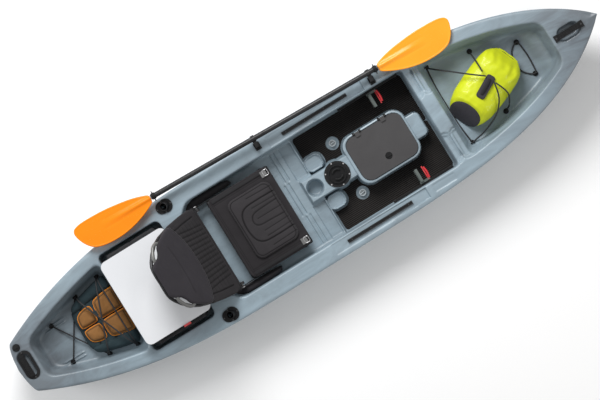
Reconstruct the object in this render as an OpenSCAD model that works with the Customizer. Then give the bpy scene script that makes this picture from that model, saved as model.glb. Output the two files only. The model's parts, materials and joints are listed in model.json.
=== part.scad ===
// Sit-on-top fishing kayak with its seat, paddle, hatches, foot braces, crate and dry bag.
// +X is the bow, +Y is port and +Z is up. The origin is on the flat keel pad, amidships.

/* [Hull] */
// Length from the transom to the bow tip
hull_l = 3658; // [3600:2:4400]
// Beam over the gunwales
beam = 810; // [800:2:980]
// Gunwale height amidships
depth = 300; // [290:1:360]
// Rise of the gunwale at the bow tip
bow_rise = 120; // [80:1:170]
// Rise of the gunwale at the transom
stern_rise = 60; // [20:1:90]
// Rise of the keel at the bow tip
bow_rocker = 250; // [150:1:300]
// Rise of the keel at the transom
stern_rocker = 130; // [60:1:200]
// Wall thickness of the moulding
wall = 5; // [3:0.5:8]
// Depth of the two tunnels beside the keel
tunnel = 14; // [6:1:24]

/* [Wells] */
// Inside width of the cockpit
cockpit_w = 606; // [560:2:640]
// Front wall of the cockpit, forward of amidships
cockpit_front = 786; // [740:2:830]
// Aft wall of the seat well, aft of amidships
seat_well_aft = 655; // [640:1:690]
// Height of the footwell floor
footwell_z = 105; // [70:1:130]
// Height of the seat platform
platform_z = 165; // [140:1:185]
// Width of the deck sill in front of the cockpit
sill_w = 84; // [60:2:110]
// Width of the gunwale beside the bow and stern wells
gunwale_w = 90; // [70:1:110]
// Height of the bow well floor
bow_floor_z = 200; // [185:1:230]
// Height of the stern well floor
stern_floor_z = 175; // [150:1:210]
// Length of the crate well
crate_well_l = 384; // [380:2:420]
// Height of the crate well floor
crate_floor_z = 168; // [150:1:190]

/* [Console] */
// Height of the hatch pod
pod_z = 218; // [200:1:240]
// Length of the hatch lid
hatch_l = 348; // [300:2:400]
// Width of the hatch lid
hatch_w = 262; // [220:2:300]
// Corner radius of the hatch lid
hatch_r = 55; // [30:1:80]
// Height of the neck with the cup holder and the round hatch
neck_z = 205; // [190:1:225]
// Inside diameter of the cup holder
cup_d = 98; // [80:1:110]
// Depth of the cup holder
cup_depth = 76; // [50:1:100]
// Outside diameter of the round hatch ring
ring_d = 146; // [130:1:160]
// Diameter of the scupper holes
scupper_d = 30; // [24:1:40]

/* [Seat] */
// Width of the seat frame over its tube centres
seat_w = 470; // [420:2:490]
// Length of the seat frame over its tube centres
seat_l = 366; // [340:2:400]
// Height of the seat frame's tube centres
seat_z = 248; // [235:1:300]
// Diameter of the seat tubes
tube_d = 22; // [18:1:26]
// Length of the backrest
back_l = 500; // [420:2:520]
// Backrest angle above the horizontal
back_angle = 46; // [42:1:50]

/* [Paddle] */
// Outside diameter of the paddle shaft
shaft_d = 29; // [26:0.5:32]
// Length of shaft between the blades
shaft_l = 1410; // [1300:10:1600]
// Length of a paddle blade
blade_l = 466; // [420:2:500]
// Width of a paddle blade
blade_w = 176; // [150:2:190]
// Height of the shaft above the gunwale amidships
paddle_lift = 64; // [60:1:80]

/* [Fittings] */
// Bore of the rod holders
rod_bore_d = 41; // [38:0.5:44]
// Depth of the rod holder bore
rod_depth = 190; // [150:5:210]
// Length of a gear track
track_l = 410; // [300:5:500]
// Width of a gear track
track_w = 20; // [18:1:26]
// Length of a foot brace rail
rail_l = 380; // [340:5:400]
// Diameter of the elastic cord
cord_d = 6; // [4:0.5:8]

/* [Cargo] */
// Length of the crate lid
lid_l = 404; // [380:2:430]
// Width of the crate lid
lid_w = 516; // [480:2:540]
// Height of the crate lid's top face
lid_z = 396; // [380:1:400]
// Length of the dry bag
bag_l = 400; // [340:5:420]
// Width of the dry bag
bag_w = 262; // [220:2:280]
// Height of the dry bag
bag_h = 180; // [140:2:200]
// Length of the folded life vest, fore and aft
vest_l = 268; // [220:2:290]
// Height of the folded life vest
vest_h = 84; // [60:2:110]

/* [Hidden] */
$fn = 48;
gap = 0.3;
half = hull_l / 2;
hb = beam / 2;
widest_x = -300;
stern_x = -half;
bow_x = half;
inner_y = cockpit_w / 2;
sky = 620;
pod_cx = 484;
round_x = 197;
cup_x = 55;
pod_half_w = hatch_w / 2 + 19;
pod_aft = pod_cx - hatch_l / 2 - 22;
pod_fore = pod_cx + hatch_l / 2 + 18;
neck_half_w = 72;
step_x = 75;
scupper_x = 265;
scupper_y = 160;
seat_front = -120;
hinge_x = seat_front - seat_l - 74;
hinge_z = seat_z + 32;
crate_well_fore = -(seat_well_aft + 113);
crate_well_aft = crate_well_fore - crate_well_l;
stern_well_fore = crate_well_aft - 12;
stern_well_aft = stern_x + 120;
bow_well_aft = cockpit_front + sill_w;
bow_well_fore = bow_x - 278;
track_y = inner_y + 40;
track_x = 52;
pad_z = depth - 3;
rod_x = -690;
rod_y = inner_y + 42;
rod_tilt = 30;
rod_wall = 3.5;
rail_x0 = cockpit_front - 27 - rail_l;
rail_z = footwell_z + 95;
pedal_x = 586;
shaft_z = depth + paddle_lift;
shaft_yaw = -1.83;
shaft_y = hb + 17;
shaft_aft_x = -730;
cradle_xs = [-95, 620];
bow_handle_x = bow_x - 174;
stern_handle_x = stern_x + 62;
drain_x = stern_x + 52;
drain_y = 113;
ferrule_l = 120;
lid_fore = crate_well_fore + 12;
crate_wall = 4;
bag_cx = bow_well_aft + 250;
bag_cy = -22;
bag_yaw = 22;
eye_bow = [[bow_well_aft + 48, 242], [bow_well_aft + 295, 192], [bow_well_fore - 140, 100]];
eye_stern = [[stern_well_fore - 60, 222], [stern_well_fore - 220, 184], [stern_well_aft + 130, 116]];
vest_fore = stern_well_fore - 24;
vest_top = stern_floor_z + vest_h;

// ---- Hull form: half-breadth, gunwale height and keel height at a station ----
function forward(x) = (x - widest_x) / (half - widest_x);
function aftward(x) = (widest_x - x) / (half + widest_x);
function transom(x) = x > stern_x + 34 ? 1 : sqrt(max(0, 1 - pow((stern_x + 34 - x) / 34, 2)));
function half_breadth(x) = max(6, x > widest_x ? hb * pow(1 - pow(forward(x), 4.4), 0.88)
    : hb * (1 - 0.67 * pow(aftward(x), 2.9)) * transom(x));
function gunwale_z(x) = depth + (x > 0 ? bow_rise * pow(x / half, 2.2) : stern_rise * pow(-x / half, 2.5));
function ramp(v) = max(0, v);
function keel_z(x) = bow_rocker * pow(ramp((x - 700) / (half - 700)), 2.6)
    + stern_rocker * pow(ramp((-x - 1000) / (half - 1000)), 2.2);

// Half of a section from the keel to the edge of the deck, inset by w
function half_section(x, w) = let (
    b = half_breadth(x) - w, k = keel_z(x) + w, s = gunwale_z(x) - w, h = s - k,
    e = min(1, b / 70), t = tunnel * min(1, b / 300)) [
    [0.10 * b, k], [0.18 * b, k + t], [0.36 * b, k + t], [0.44 * b, k], [0.62 * b, k],
    [0.80 * b, k + 0.08 * h], [0.92 * b, k + 0.25 * h], [0.975 * b, k + 0.5 * h],
    [b - 6 * e, s - 48 * e], [b, s - 34 * e], [b, s - 12 * e], [b - 7 * e, s - 3 * e], [b - 22 * e, s]];
function ring(x, w) = let (p = half_section(x, w), n = len(p)) concat(
    [for (i = [0:n - 1]) [x, p[i][0], p[i][1]]], [[x, 0, gunwale_z(x) - w + 6]],
    [for (i = [n - 1:-1:0]) [x, -p[i][0], p[i][1]]]);

// A tube of triangles through a list of rings, closed at both ends
module skin(rings) {
    m = len(rings);
    n = len(rings[0]);
    points = [for (r = rings) each r];
    sides = [for (i = [0:m - 2], j = [0:n - 1]) let (a = i * n + j, b = i * n + (j + 1) % n)
        each [[a, a + n, b], [b, a + n, b + n]]];
    caps = [[for (j = [0:n - 1]) j], [for (j = [n - 1:-1:0]) (m - 1) * n + j]];
    polyhedron(points, concat(sides, caps), convexity = 10);
}
module hull_form(w, x0, x1, stations) {
    mid = (x0 + x1) / 2;
    skin([for (i = [0:stations]) ring(mid - (x1 - x0) / 2 * cos(180 * i / stations), w)]);
}

// ---- Smooth round tube along hand-picked points, for cords ----
function spline_at(p, i, t) = let (
    n = len(p), a = p[max(0, i - 1)], b = p[i], c = p[min(n - 1, i + 1)], d = p[min(n - 1, i + 2)])
    0.5 * (2 * b + (c - a) * t + (2 * a - 5 * b + 4 * c - d) * t * t + (3 * b - a - 3 * c + d) * t * t * t);
function smooth_path(p, n) = concat(
    [for (i = [0:len(p) - 2], k = [0:n - 1]) spline_at(p, i, k / n)], [p[len(p) - 1]]);
function unit(v) = v / norm(v);
function tangent(q, i) = unit(q[min(len(q) - 1, i + 1)] - q[max(0, i - 1)]);
function side_of(t) = unit(cross(t, abs(t[2]) > 0.9 ? [1, 0, 0] : [0, 0, 1]));
module cord(p, d, steps = 3, sides = 8) {
    q = smooth_path(p, steps);
    skin([for (i = [0:len(q) - 1]) let (t = tangent(q, i), u = side_of(t), v = cross(t, u))
        [for (j = [0:sides - 1]) q[i] + d / 2 * (cos(360 * j / sides) * u + sin(360 * j / sides) * v)]]);
}

// ---- Plan outlines ----
module rounded(l, w, r) { offset(r = r) square([l - 2 * r, w - 2 * r], center = true); }
function side_line(x0, x1, inset, n) = [for (i = [0:n]) let (x = x0 + (x1 - x0) * i / n) [x, half_breadth(x) - inset]];
function both_sides(line) = concat(line, [for (i = [len(line) - 1:-1:0]) [line[i][0], -line[i][1]]]);
function bow_outline() = both_sides(side_line(bow_well_aft, bow_well_fore, gunwale_w, 6));
function stern_outline() = both_sides(side_line(stern_well_aft, stern_well_fore, gunwale_w - 2, 6));
function seat_outline() = both_sides([[-seat_well_aft, 235], [-seat_well_aft + 65, inner_y], [step_x + 30, inner_y]]);
function box_outline(x0, x1, y) = both_sides([[x0, y], [x1, y]]);

// A well cut down from above: g grows it, run is how far its wall leans in at the floor
module well(outline, floor_z, run, r, g) {
    hull() {
        translate([0, 0, floor_z - g]) linear_extrude(0.1)
            offset(r = r + g - run, $fn = 24) offset(delta = -r) polygon(outline);
        translate([0, 0, sky]) linear_extrude(0.1)
            offset(r = r + g + run, $fn = 24) offset(delta = -r) polygon(outline);
    }
}
module pod_plan(g) { translate([(pod_aft + pod_fore) / 2, 0]) rounded(pod_fore - pod_aft - 2 * g, 2 * pod_half_w - 2 * g, hatch_r + 14); }
module neck_plan(g) {
    translate([-5, -neck_half_w + g]) square([pod_aft + 40, 2 * neck_half_w - 2 * g]);
    translate([round_x, 0]) circle(r = ring_d / 2 + 9 - g);
}
module nose_plan(g) { translate([pod_fore + 24, 0]) rounded(100 - 2 * g, 146 - 2 * g, 30); }
module tray_bulge_plan(g) {
    for (s = [-1, 1]) translate([step_x + 46, s * 121]) rounded(116 - 2 * g, 98 - 2 * g, 42);
}
module console_plan(g) { pod_plan(g); neck_plan(g); nose_plan(g); tray_bulge_plan(g); }

// The raised islands that the wells leave standing, shrunk by g
module console(g) {
    base = footwell_z - 40;
    translate([0, 0, base]) linear_extrude(pod_z - g - base) pod_plan(g);
    translate([0, 0, base]) linear_extrude(neck_z - g - base) neck_plan(g);
    translate([0, 0, base]) linear_extrude(pod_z - 16 - g - base) nose_plan(g);
    translate([0, 0, base]) linear_extrude(platform_z + 8 - g - base) tray_bulge_plan(g);
}
module trays(g) {
    for (s = [-1, 1]) translate([0, 0, platform_z - 14 - g]) linear_extrude(60) {
        translate([step_x + 42, s * 121]) rounded(108 + 2 * g, 82 + 2 * g, 34);
        translate([-12 - g, s > 0 ? 80 - g : -inner_y + 12 - g]) square([76 + 2 * g, inner_y - 92 + 2 * g]);
    }
}
module seat_grooves(g) {
    for (x = [-92, -66], y = [-98]) translate([x - g, y - g, platform_z - 6 - g])
        cube([12 + 2 * g, 196 + 2 * g, 60]);
    for (x = [-78, -52], s = [-1, 1]) translate([x - g, (s > 0 ? 106 : -286) - g, platform_z - 6 - g])
        cube([12 + 2 * g, 180 + 2 * g, 60]);
}
// Small sinks in the deck: cup holder, trays, hatch seat, track pads, handle recesses, scupper tubes
module sinks(g) {
    translate([cup_x, 0, neck_z - cup_depth - g]) cylinder(d = cup_d + 2 * g, h = cup_depth + 60);
    trays(g);
    seat_grooves(g);
    translate([pod_cx, 0, pod_z - 12 - g]) linear_extrude(60) rounded(hatch_l + 4 + 2 * g, hatch_w + 4 + 2 * g, hatch_r + 2);
    for (s = [-1, 1]) {
        translate([track_x - 90 - g, s * track_y - 32 - g, pad_z - g]) cube([600 + 2 * g, 64 + 2 * g, 60]);
        translate([scupper_x, s * scupper_y, -20]) cylinder(d = scupper_d + 2 * g, h = footwell_z + 25);
    }
    translate([bow_handle_x, 0, gunwale_z(bow_handle_x) - 42 - g]) linear_extrude(100)
        rounded(128 + 2 * g, 78 + 2 * g, 38);
    translate([stern_handle_x, 0, gunwale_z(stern_handle_x) - 40 - g]) linear_extrude(100)
        rounded(52 + 2 * g, 132 + 2 * g, 25);
    translate([stern_handle_x, 0, gunwale_z(stern_handle_x) + 1 - g]) linear_extrude(60)
        rounded(84 + 2 * g, 172 + 2 * g, 40);
}
// Everything open to the sky, grown by g
module voids(g) {
    difference() {
        union() {
            well(box_outline(step_x, cockpit_front, inner_y), footwell_z, 0, 26, g);
            well(seat_outline(), platform_z, 0, 20, g);
            well(box_outline(crate_well_aft, crate_well_fore, inner_y), crate_floor_z, 3, 30, g);
            well(bow_outline(), bow_floor_z, 20, 30, g);
            well(stern_outline(), stern_floor_z, 16, 30, g);
        }
        console(g);
    }
    sinks(g);
}
module rod_axis(s) { translate([rod_x, s * rod_y, gunwale_z(rod_x)]) rotate([0, -rod_tilt, 0]) children(); }
module drain_axis() { translate([drain_x, drain_y, gunwale_z(drain_x)]) children(); }

module hull_shell() {
    $fn = 36;
    color("lightslategray") difference() {
        hull_form(0, stern_x, bow_x, 40);
        voids(0);
        difference() {
            hull_form(wall, stern_x + 16, bow_x - 40, 32);
            voids(wall);
        }
        translate([pod_cx, 0, pod_z - 40]) linear_extrude(60) rounded(hatch_l - 46, hatch_w - 46, hatch_r - 18);
        translate([round_x, 0, neck_z - 40]) cylinder(d = ring_d - 26, h = 60);
        for (s = [-1, 1]) rod_axis(s) translate([0, 0, -rod_depth - 12]) cylinder(d = rod_bore_d + 2 * rod_wall + 1, h = rod_depth + 60);
        drain_axis() translate([0, 0, -30]) cylinder(d = 27, h = 60);
    }
}

// ---- Gear tracks ----
module gear_track(s) {
    color("dimgray") translate([track_x, s * track_y - track_w / 2, pad_z + gap]) difference() {
        cube([track_l, track_w, 9]);
        translate([-1, 3, 2.5]) cube([track_l + 2, track_w - 6, 4.5]);
        translate([-1, track_w / 2 - 4, 5]) cube([track_l + 2, 8, 6]);
    }
}
module track_screws() {
    color("silver") for (s = [-1, 1], i = [0:3])
        translate([track_x + 25 + i * (track_l - 50) / 3, s * track_y, pad_z + 2.5 + 2 * gap]) cylinder(d = 7, h = 2.6);
}

// ---- Deck mats ----
module mat(s) {
    color("#1c1c1c") translate([0, 0, footwell_z + gap]) linear_extrude(5) difference() {
        offset(r = 24) translate([step_x + 30, s > 0 ? 24 : -inner_y + 31])
            square([cockpit_front - step_x - 58, inner_y - 55]);
        translate([step_x, -3]) square([pod_aft - step_x, 6]);
        offset(r = 7) console_plan(0);
        translate([scupper_x, s * scupper_y]) circle(d = 76);
        translate([pod_fore - 60, -2]) square([400, 4]);
    }
}

// ---- Foot braces ----
module side(s) { mirror([0, s > 0 ? 0 : 1, 0]) children(); }
module foot_rail(s) {
    color("#202020") side(s) translate([rail_x0, inner_y - 14 - gap, rail_z]) difference() {
        cube([rail_l, 14, 30]);
        translate([24, -1, 11]) cube([rail_l - 48, 10, 8]);
        for (x = [12, rail_l - 12]) translate([x, -1, 15]) rotate([-90, 0, 0]) cylinder(d = 5.5, h = 20);
    }
}
module foot_rail_screws() {
    color("silver") for (s = [-1, 1], x = [12, rail_l - 12])
        side(s) translate([rail_x0 + x, inner_y - 14 - 2 * gap, rail_z + 15]) rotate([90, 0, 0]) cylinder(d = 10, h = 3);
}
module foot_pedal(s) {
    y1 = inner_y - 14 - 2 * gap;
    color("#4a5050") side(s) {
        difference() {
            translate([pedal_x - 30, y1 - 12, rail_z - 6]) cube([60, 12, 42]);
            translate([pedal_x + 22, y1 - 6, rail_z - 20]) cylinder(d = 5.2, h = 80);
            translate([pedal_x + 15, y1 - 12.1, rail_z + 1]) cube([20, 12.2, 28]);
        }
        translate([pedal_x - 22, y1 + 0.5, rail_z + 12.5]) cube([44, 7, 5]);
        translate([pedal_x - 22, y1 - 1, rail_z + 12.5]) cube([36, 3, 5]);
        translate([pedal_x - 22, y1 - 86, rail_z - 34]) cube([14, 76, 88]);
        for (z = [-26, -8, 10, 28, 46]) translate([pedal_x - 25, y1 - 82, rail_z + z - 2]) cube([4, 68, 5]);
    }
}
module pedal_trigger(s) {
    y1 = inner_y - 14 - 2 * gap;
    color("#d01c24") side(s) {
        translate([pedal_x + 22, y1 - 6, rail_z - 6 - 2]) cylinder(d = 5, h = 46);
        translate([pedal_x + 22, y1 - 6, rail_z + 3]) cylinder(d = 9, h = 24);
        translate([pedal_x + 19, y1 - 84, rail_z + 3]) cube([6, 76, 24]);
    }
}

// ---- Rectangular hatch ----
hinge_y = hatch_w / 2 + 6;
hatch_axis_z = pod_z + 8;
module hatch_gasket() {
    color("black") translate([pod_cx, 0, pod_z - 12 + gap]) linear_extrude(3) difference() {
        rounded(hatch_l - 16, hatch_w - 16, hatch_r - 6);
        rounded(hatch_l - 32, hatch_w - 32, hatch_r - 13);
    }
}
module hatch_hinge_base() {
    color("#202020") for (x = [-80, 80]) translate([pod_cx + x, hinge_y, 0]) {
        for (k = [-1, 1]) difference() {
            union() {
                translate([k * 20 - 6, -4, pod_z + gap]) cube([12, 14, 8]);
                translate([k * 20 - 6, 0, hatch_axis_z]) rotate([0, 90, 0]) cylinder(d = 12, h = 12);
            }
            translate([-40, 0, hatch_axis_z]) rotate([0, 90, 0]) cylinder(d = 5.1, h = 80);
        }
    }
}
module hatch_hinge_pins() {
    color("silver") for (x = [-80, 80]) translate([pod_cx + x - 28, hinge_y, hatch_axis_z])
        rotate([0, 90, 0]) cylinder(d = 5, h = 56);
}
module hatch_lid() {
    z0 = pod_z - 12 + 3 + 2 * gap;
    color("#4c4c4e") difference() {
        union() {
            translate([pod_cx, 0, z0]) linear_extrude(14) difference() {
                rounded(hatch_l, hatch_w, hatch_r);
                translate([6, -62]) circle(d = 40);
            }
            translate([pod_cx + 6, -62, z0]) cylinder(d = 40.4, h = 6);
            for (x = [-80, 80]) translate([pod_cx + x, 0, 0]) {
                translate([-13.4, hatch_w / 2 - 16, z0 + 13]) cube([26.8, 22, hatch_axis_z - z0 - 13 + 5]);
                translate([-13.4, hinge_y, hatch_axis_z]) rotate([0, 90, 0]) cylinder(d = 12, h = 26.8);
            }
        }
        for (x = [-80, 80]) translate([pod_cx + x - 20, hinge_y, hatch_axis_z]) rotate([0, 90, 0]) cylinder(d = 5.1, h = 40);
        translate([pod_cx + 6, -62, z0 - 1]) cylinder(d = 8.1, h = 20);
    }
}
module hatch_latch_knob() {
    z0 = pod_z - 12 + 3 + 2 * gap;
    color("#101010") translate([pod_cx + 6, -62, z0]) {
        translate([0, 0, -5]) cylinder(d = 8, h = 12);
        translate([0, 0, 6 + gap]) cylinder(d = 37, h = 6);
        translate([-16, -4, 12]) cube([32, 8, 5]);
        translate([-8, -8, -7]) cube([16, 16, 6.6]);
    }
}

// ---- Round twist-lock hatch ----
module round_hatch_ring() {
    color("#161616") translate([round_x, 0, neck_z + gap]) difference() {
        union() {
            cylinder(d = ring_d, h = 5);
            translate([0, 0, -14]) cylinder(d = ring_d - 28, h = 15);
        }
        translate([0, 0, -15]) cylinder(d = ring_d - 36, h = 30);
        for (i = [0:5]) rotate(30 + 60 * i) translate([ring_d / 2 - 7, 0, -1]) cylinder(d = 4.4, h = 8);
    }
}
module round_hatch_screws() {
    color("silver") translate([round_x, 0, neck_z + 2 * gap + 5])
        for (i = [0:5]) rotate(30 + 60 * i) translate([ring_d / 2 - 7, 0, 0]) cylinder(d = 8, h = 2);
}
module round_hatch_lid() {
    color("#161616") translate([round_x, 0, neck_z + gap]) {
        translate([0, 0, -10]) cylinder(d = ring_d - 36.2, h = 14);
        translate([0, 0, 5.4]) cylinder(d = ring_d - 30, h = 3);
        cylinder(d = ring_d - 40, h = 6);
        for (s = [-1, 1]) translate([-22, s * 26 - 4, 8]) cube([44, 8, 7]);
    }
}

// ---- Scupper plugs ----
module scupper_plug(s) {
    color("#5c6468") translate([scupper_x, s * scupper_y, footwell_z + gap]) {
        cylinder(d = scupper_d + 10, h = 4);
        translate([0, 0, -38]) cylinder(d1 = scupper_d - 8, d2 = scupper_d - 0.8, h = 38.2);
        translate([-10, -2, 3]) cube([20, 4, 12]);
    }
}

// ---- Flush rod holders ----
flange_holes = [[32, 0], [-12, 31], [-50, 0], [-12, -31]];
module rod_holder(s) {
    d_out = rod_bore_d + 2 * rod_wall;
    color("#141414") difference() {
        union() {
            rod_axis(s) translate([0, 0, -rod_depth + 18]) cylinder(d = d_out, h = rod_depth + 8);
            translate([rod_x, s * rod_y, gunwale_z(rod_x) + 2.6]) {
                cylinder(d = 78, h = 5);
                translate([-22, 0, 0]) cylinder(d = 70, h = 5);
            }
        }
        rod_axis(s) translate([0, 0, -rod_depth + 26]) cylinder(d = rod_bore_d, h = rod_depth + 60);
        for (q = flange_holes) translate([rod_x, s * rod_y, 0]) translate(q) cylinder(d = 4.4, h = gunwale_z(rod_x) + 20);
    }
}
module rod_holder_screws() {
    color("silver") for (s = [-1, 1], q = flange_holes)
        translate([rod_x, s * rod_y, gunwale_z(rod_x) + 7.6 + gap]) translate(q) cylinder(d = 8, h = 2.4);
}

// ---- Carry handles ----
module bow_handle() {
    pitch = -atan((gunwale_z(bow_handle_x + 60) - gunwale_z(bow_handle_x - 60)) / 120);
    color("#121212") translate([bow_handle_x, 0, gunwale_z(bow_handle_x) + 6.5]) rotate([0, pitch, 0]) {
        for (s = [-1, 1]) translate([s * 76 - 12, -19, 0]) difference() {
            cube([24, 38, 8]);
            translate([12, 19, -1]) cylinder(d = 5.5, h = 12);
        }
        translate([-66, -15, 6]) cube([132, 30, 10]);
        for (x = [-52:13:52]) translate([x - 3, -17, 8]) cube([6, 34, 10]);
    }
}
module stern_handle() {
    z = gunwale_z(stern_handle_x) + 1 + gap;
    color("#121212") translate([stern_handle_x, 0, z]) {
        difference() {
            linear_extrude(6) difference() {
                rounded(78, 166, 38);
                rounded(50, 130, 24);
            }
            for (s = [-1, 1]) translate([0, s * 73, -1]) cylinder(d = 5.5, h = 12);
        }
        translate([-22, -66, 5]) cube([26, 132, 11]);
        for (y = [-56:14:56]) translate([-24, y - 3, 7]) cube([30, 6, 11]);
    }
}
module handle_screws() {
    color("silver") {
        pitch = -atan((gunwale_z(bow_handle_x + 60) - gunwale_z(bow_handle_x - 60)) / 120);
        translate([bow_handle_x, 0, gunwale_z(bow_handle_x) + 6.5]) rotate([0, pitch, 0])
            for (s = [-1, 1]) translate([s * 76, 0, 8 + gap]) cylinder(d = 11, h = 3);
        for (s = [-1, 1]) translate([stern_handle_x, s * 76, gunwale_z(stern_handle_x) + 7 + 2 * gap]) cylinder(d = 9, h = 3);
    }
}

// ---- Drain plug ----
module drain_seat() {
    color("#181818") drain_axis() translate([0, 0, 2.9]) difference() {
        union() {
            cylinder(d = 42, h = 4);
            translate([0, 0, -16]) cylinder(d = 26, h = 17);
        }
        translate([0, 0, -20]) cylinder(d = 20, h = 40);
    }
}
module drain_plug() {
    color("#181818") drain_axis() translate([0, 0, 6.9 + gap]) {
        cylinder(d = 32, h = 6);
        translate([0, 0, -18]) cylinder(d = 19.8, h = 19);
        translate([-13, -3, 5]) cube([26, 6, 8]);
    }
}

// ---- Pad eyes and elastic cords ----
module pad_eye(x, y, z) {
    translate([x, y, z]) {
        cylinder(d = 30, h = 4);
        for (s = [-1, 1]) translate([s * 9, 0, 3]) cylinder(d = 7, h = 12);
        translate([0, 0, 15]) rotate([0, 90, 0]) translate([0, 0, -12.5]) cylinder(d = 7, h = 25);
    }
}
module bow_pad_eyes() { color("#101010") for (e = eye_bow, s = [-1, 1]) pad_eye(e[0], s * e[1], bow_floor_z + gap); }
module stern_pad_eyes() { color("#101010") for (e = eye_stern, s = [-1, 1]) pad_eye(e[0], s * e[1], stern_floor_z + gap); }

bow_eye_z = bow_floor_z + gap + 8;
bag_top = bow_floor_z + bag_h + 6;
port_tail = [[918, 245, bow_eye_z], [926, 230, bow_eye_z + 3], [960, 196, bow_eye_z + 48],
    [1010, 148, bag_top - 50], [1080, 85, bag_top + 2], [1150, 30, bag_top + 9]];
floor_line = [[918, 244, bow_eye_z], [906, 120, bow_eye_z - 4], [905, 0, bow_eye_z - 4], [906, -120, bow_eye_z - 4],
    [918, -244, bow_eye_z]];
starboard_tail = [[918, -245, bow_eye_z], [940, -238, bow_eye_z + 4], [1010, -222, bow_eye_z + 36],
    [1095, -180, bag_top - 70], [1150, -110, bag_top - 4], [1172, -20, bag_top + 9]];
port_route = [[1165, 194, bow_eye_z], [1164, 182, bow_eye_z + 6], [1160, 166, bow_eye_z + 48],
    [1150, 130, bag_top - 20], [1148, 60, bag_top + 9]];
starboard_route = [[1165, -194, bow_eye_z], [1170, -184, bow_eye_z + 6], [1190, -172, bow_eye_z + 56],
    [1206, -110, bag_top - 8], [1176, -30, bag_top + 16]];
nose_route = [[1350, 20, bow_eye_z - 3], [1360, 66, bow_eye_z - 3], [1411, 100, bow_eye_z], [1424, 40, bow_eye_z],
    [1424, -40, bow_eye_z], [1411, -100, bow_eye_z], [1356, -56, bow_eye_z - 3], [1346, 8, bow_eye_z - 3]];
module bow_bungee() {
    color("#0c0c0c") {
        cord(port_tail, cord_d, 4);
        cord(floor_line, cord_d, 4);
        cord(starboard_tail, cord_d, 4);
        cord(port_route, cord_d, 4);
        cord(starboard_route, cord_d, 4);
        cord(nose_route, cord_d, 4);
    }
}
stern_eye_z = stern_floor_z + gap + 8;
// A cord that climbs over the folded vest between two eyes
function over_vest(a, b, up) = [for (q = [[0, 0], [0.05, 0.5], [0.15, 0.98], [0.5, 1.03], [0.85, 0.98], [0.95, 0.5], [1, 0]])
    [a[0] + (b[0] - a[0]) * q[0], a[1] + (b[1] - a[1]) * q[0], stern_eye_z + (vest_top + 4 + up - stern_eye_z) * q[1]]];
function stern_eye(i, s) = [eye_stern[i][0], s * (eye_stern[i][1] + 2)];
module floor_cord(a, b, up) {
    m = (a + b) / 2;
    cord([[a[0], a[1], stern_eye_z], [m[0], m[1], stern_eye_z + up], [b[0], b[1], stern_eye_z]], cord_d, 3);
}
module stern_bungee() {
    color("#0c0c0c") {
        cord(over_vest(stern_eye(0, 1), stern_eye(1, -1), 0), cord_d, 3);
        cord(over_vest(stern_eye(0, -1), stern_eye(1, 1), 6), cord_d, 3);
        cord(over_vest(stern_eye(0, 1), stern_eye(0, -1), 0), cord_d, 3);
        floor_cord(stern_eye(1, 1), stern_eye(2, -1), 4);
        floor_cord(stern_eye(1, -1), stern_eye(2, 1), 11);
    }
}

// ---- Folded life vest ----
module life_vest() {
    x1 = vest_fore - vest_l;
    color("#c8a97a") translate([0, 0, stern_floor_z + gap]) hull() {
        for (q = [[0, 16], [16, 0], [vest_h - 34, 0], [vest_h - 6, 30]]) translate([0, 0, q[0]]) linear_extrude(2)
            offset(r = 40 - q[1], $fn = 32) offset(delta = -40) polygon(both_sides([[vest_fore, 200], [x1, 142]]));
    }
}

// ---- Paddle: its own frame has +X forward along the shaft, origin at the aft end of the shaft ----
module paddle_frame() { translate([shaft_aft_x, shaft_y, shaft_z]) rotate([0, 0, shaft_yaw]) children(); }
module paddle_cradles() {
    color("#101010") for (x = cradle_xs) {
        y = shaft_y + (x - shaft_aft_x) * tan(shaft_yaw);
        z = gunwale_z(x) + 1.9;
        difference() {
            union() {
                translate([x - 17, y - 66, z]) cube([34, 44, 6]);
                translate([x - 11, y - 50, z + 3]) cube([22, 29, shaft_z - z - 8]);
                translate([x - 11, y - 50, shaft_z - 22]) cube([22, 69, 22]);
            }
            translate([x, y, shaft_z]) rotate([0, 0, shaft_yaw]) {
                rotate([0, 90, 0]) translate([0, 0, -30]) cylinder(d = shaft_d + 1, h = 60);
                translate([-30, -shaft_d / 2 - 0.5, 0]) cube([60, shaft_d + 1, 60]);
            }
            for (k = [-1, 1]) translate([x + k * 13.5, y - 60, z - 1]) cylinder(d = 4, h = 10);
        }
    }
}
half_l = shaft_l / 2;
module paddle_shaft_fore() {
    color("#1a1a1a") paddle_frame() difference() {
        translate([half_l + gap, 0, 0]) rotate([0, 90, 0]) cylinder(d = shaft_d, h = half_l - gap);
        translate([half_l - 1, 0, 0]) rotate([0, 90, 0]) cylinder(d = shaft_d - 3.6, h = half_l + 20);
        translate([half_l + 40, 0, 0]) cylinder(d = 8, h = 40);
    }
}
module paddle_shaft_aft() {
    color("#1a1a1a") paddle_frame() difference() {
        union() {
            rotate([0, 90, 0]) cylinder(d = shaft_d, h = half_l - gap);
            translate([half_l - 10, 0, 0]) rotate([0, 90, 0]) cylinder(d = shaft_d - 3.7, h = ferrule_l);
        }
        translate([-10, 0, 0]) rotate([0, 90, 0]) cylinder(d = shaft_d - 7.6, h = half_l + ferrule_l + 20);
        translate([-10, 0, 0]) rotate([0, 90, 0]) cylinder(d = shaft_d - 3.6, h = half_l - 60);
    }
}
module ferrule_button() {
    color("silver") paddle_frame() translate([half_l + 40, 0, 0]) intersection() {
        translate([0, 0, shaft_d / 2 - 1.6]) cylinder(d = 7.6, h = 4.2);
        sphere(d = shaft_d + 5);
    }
}
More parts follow.
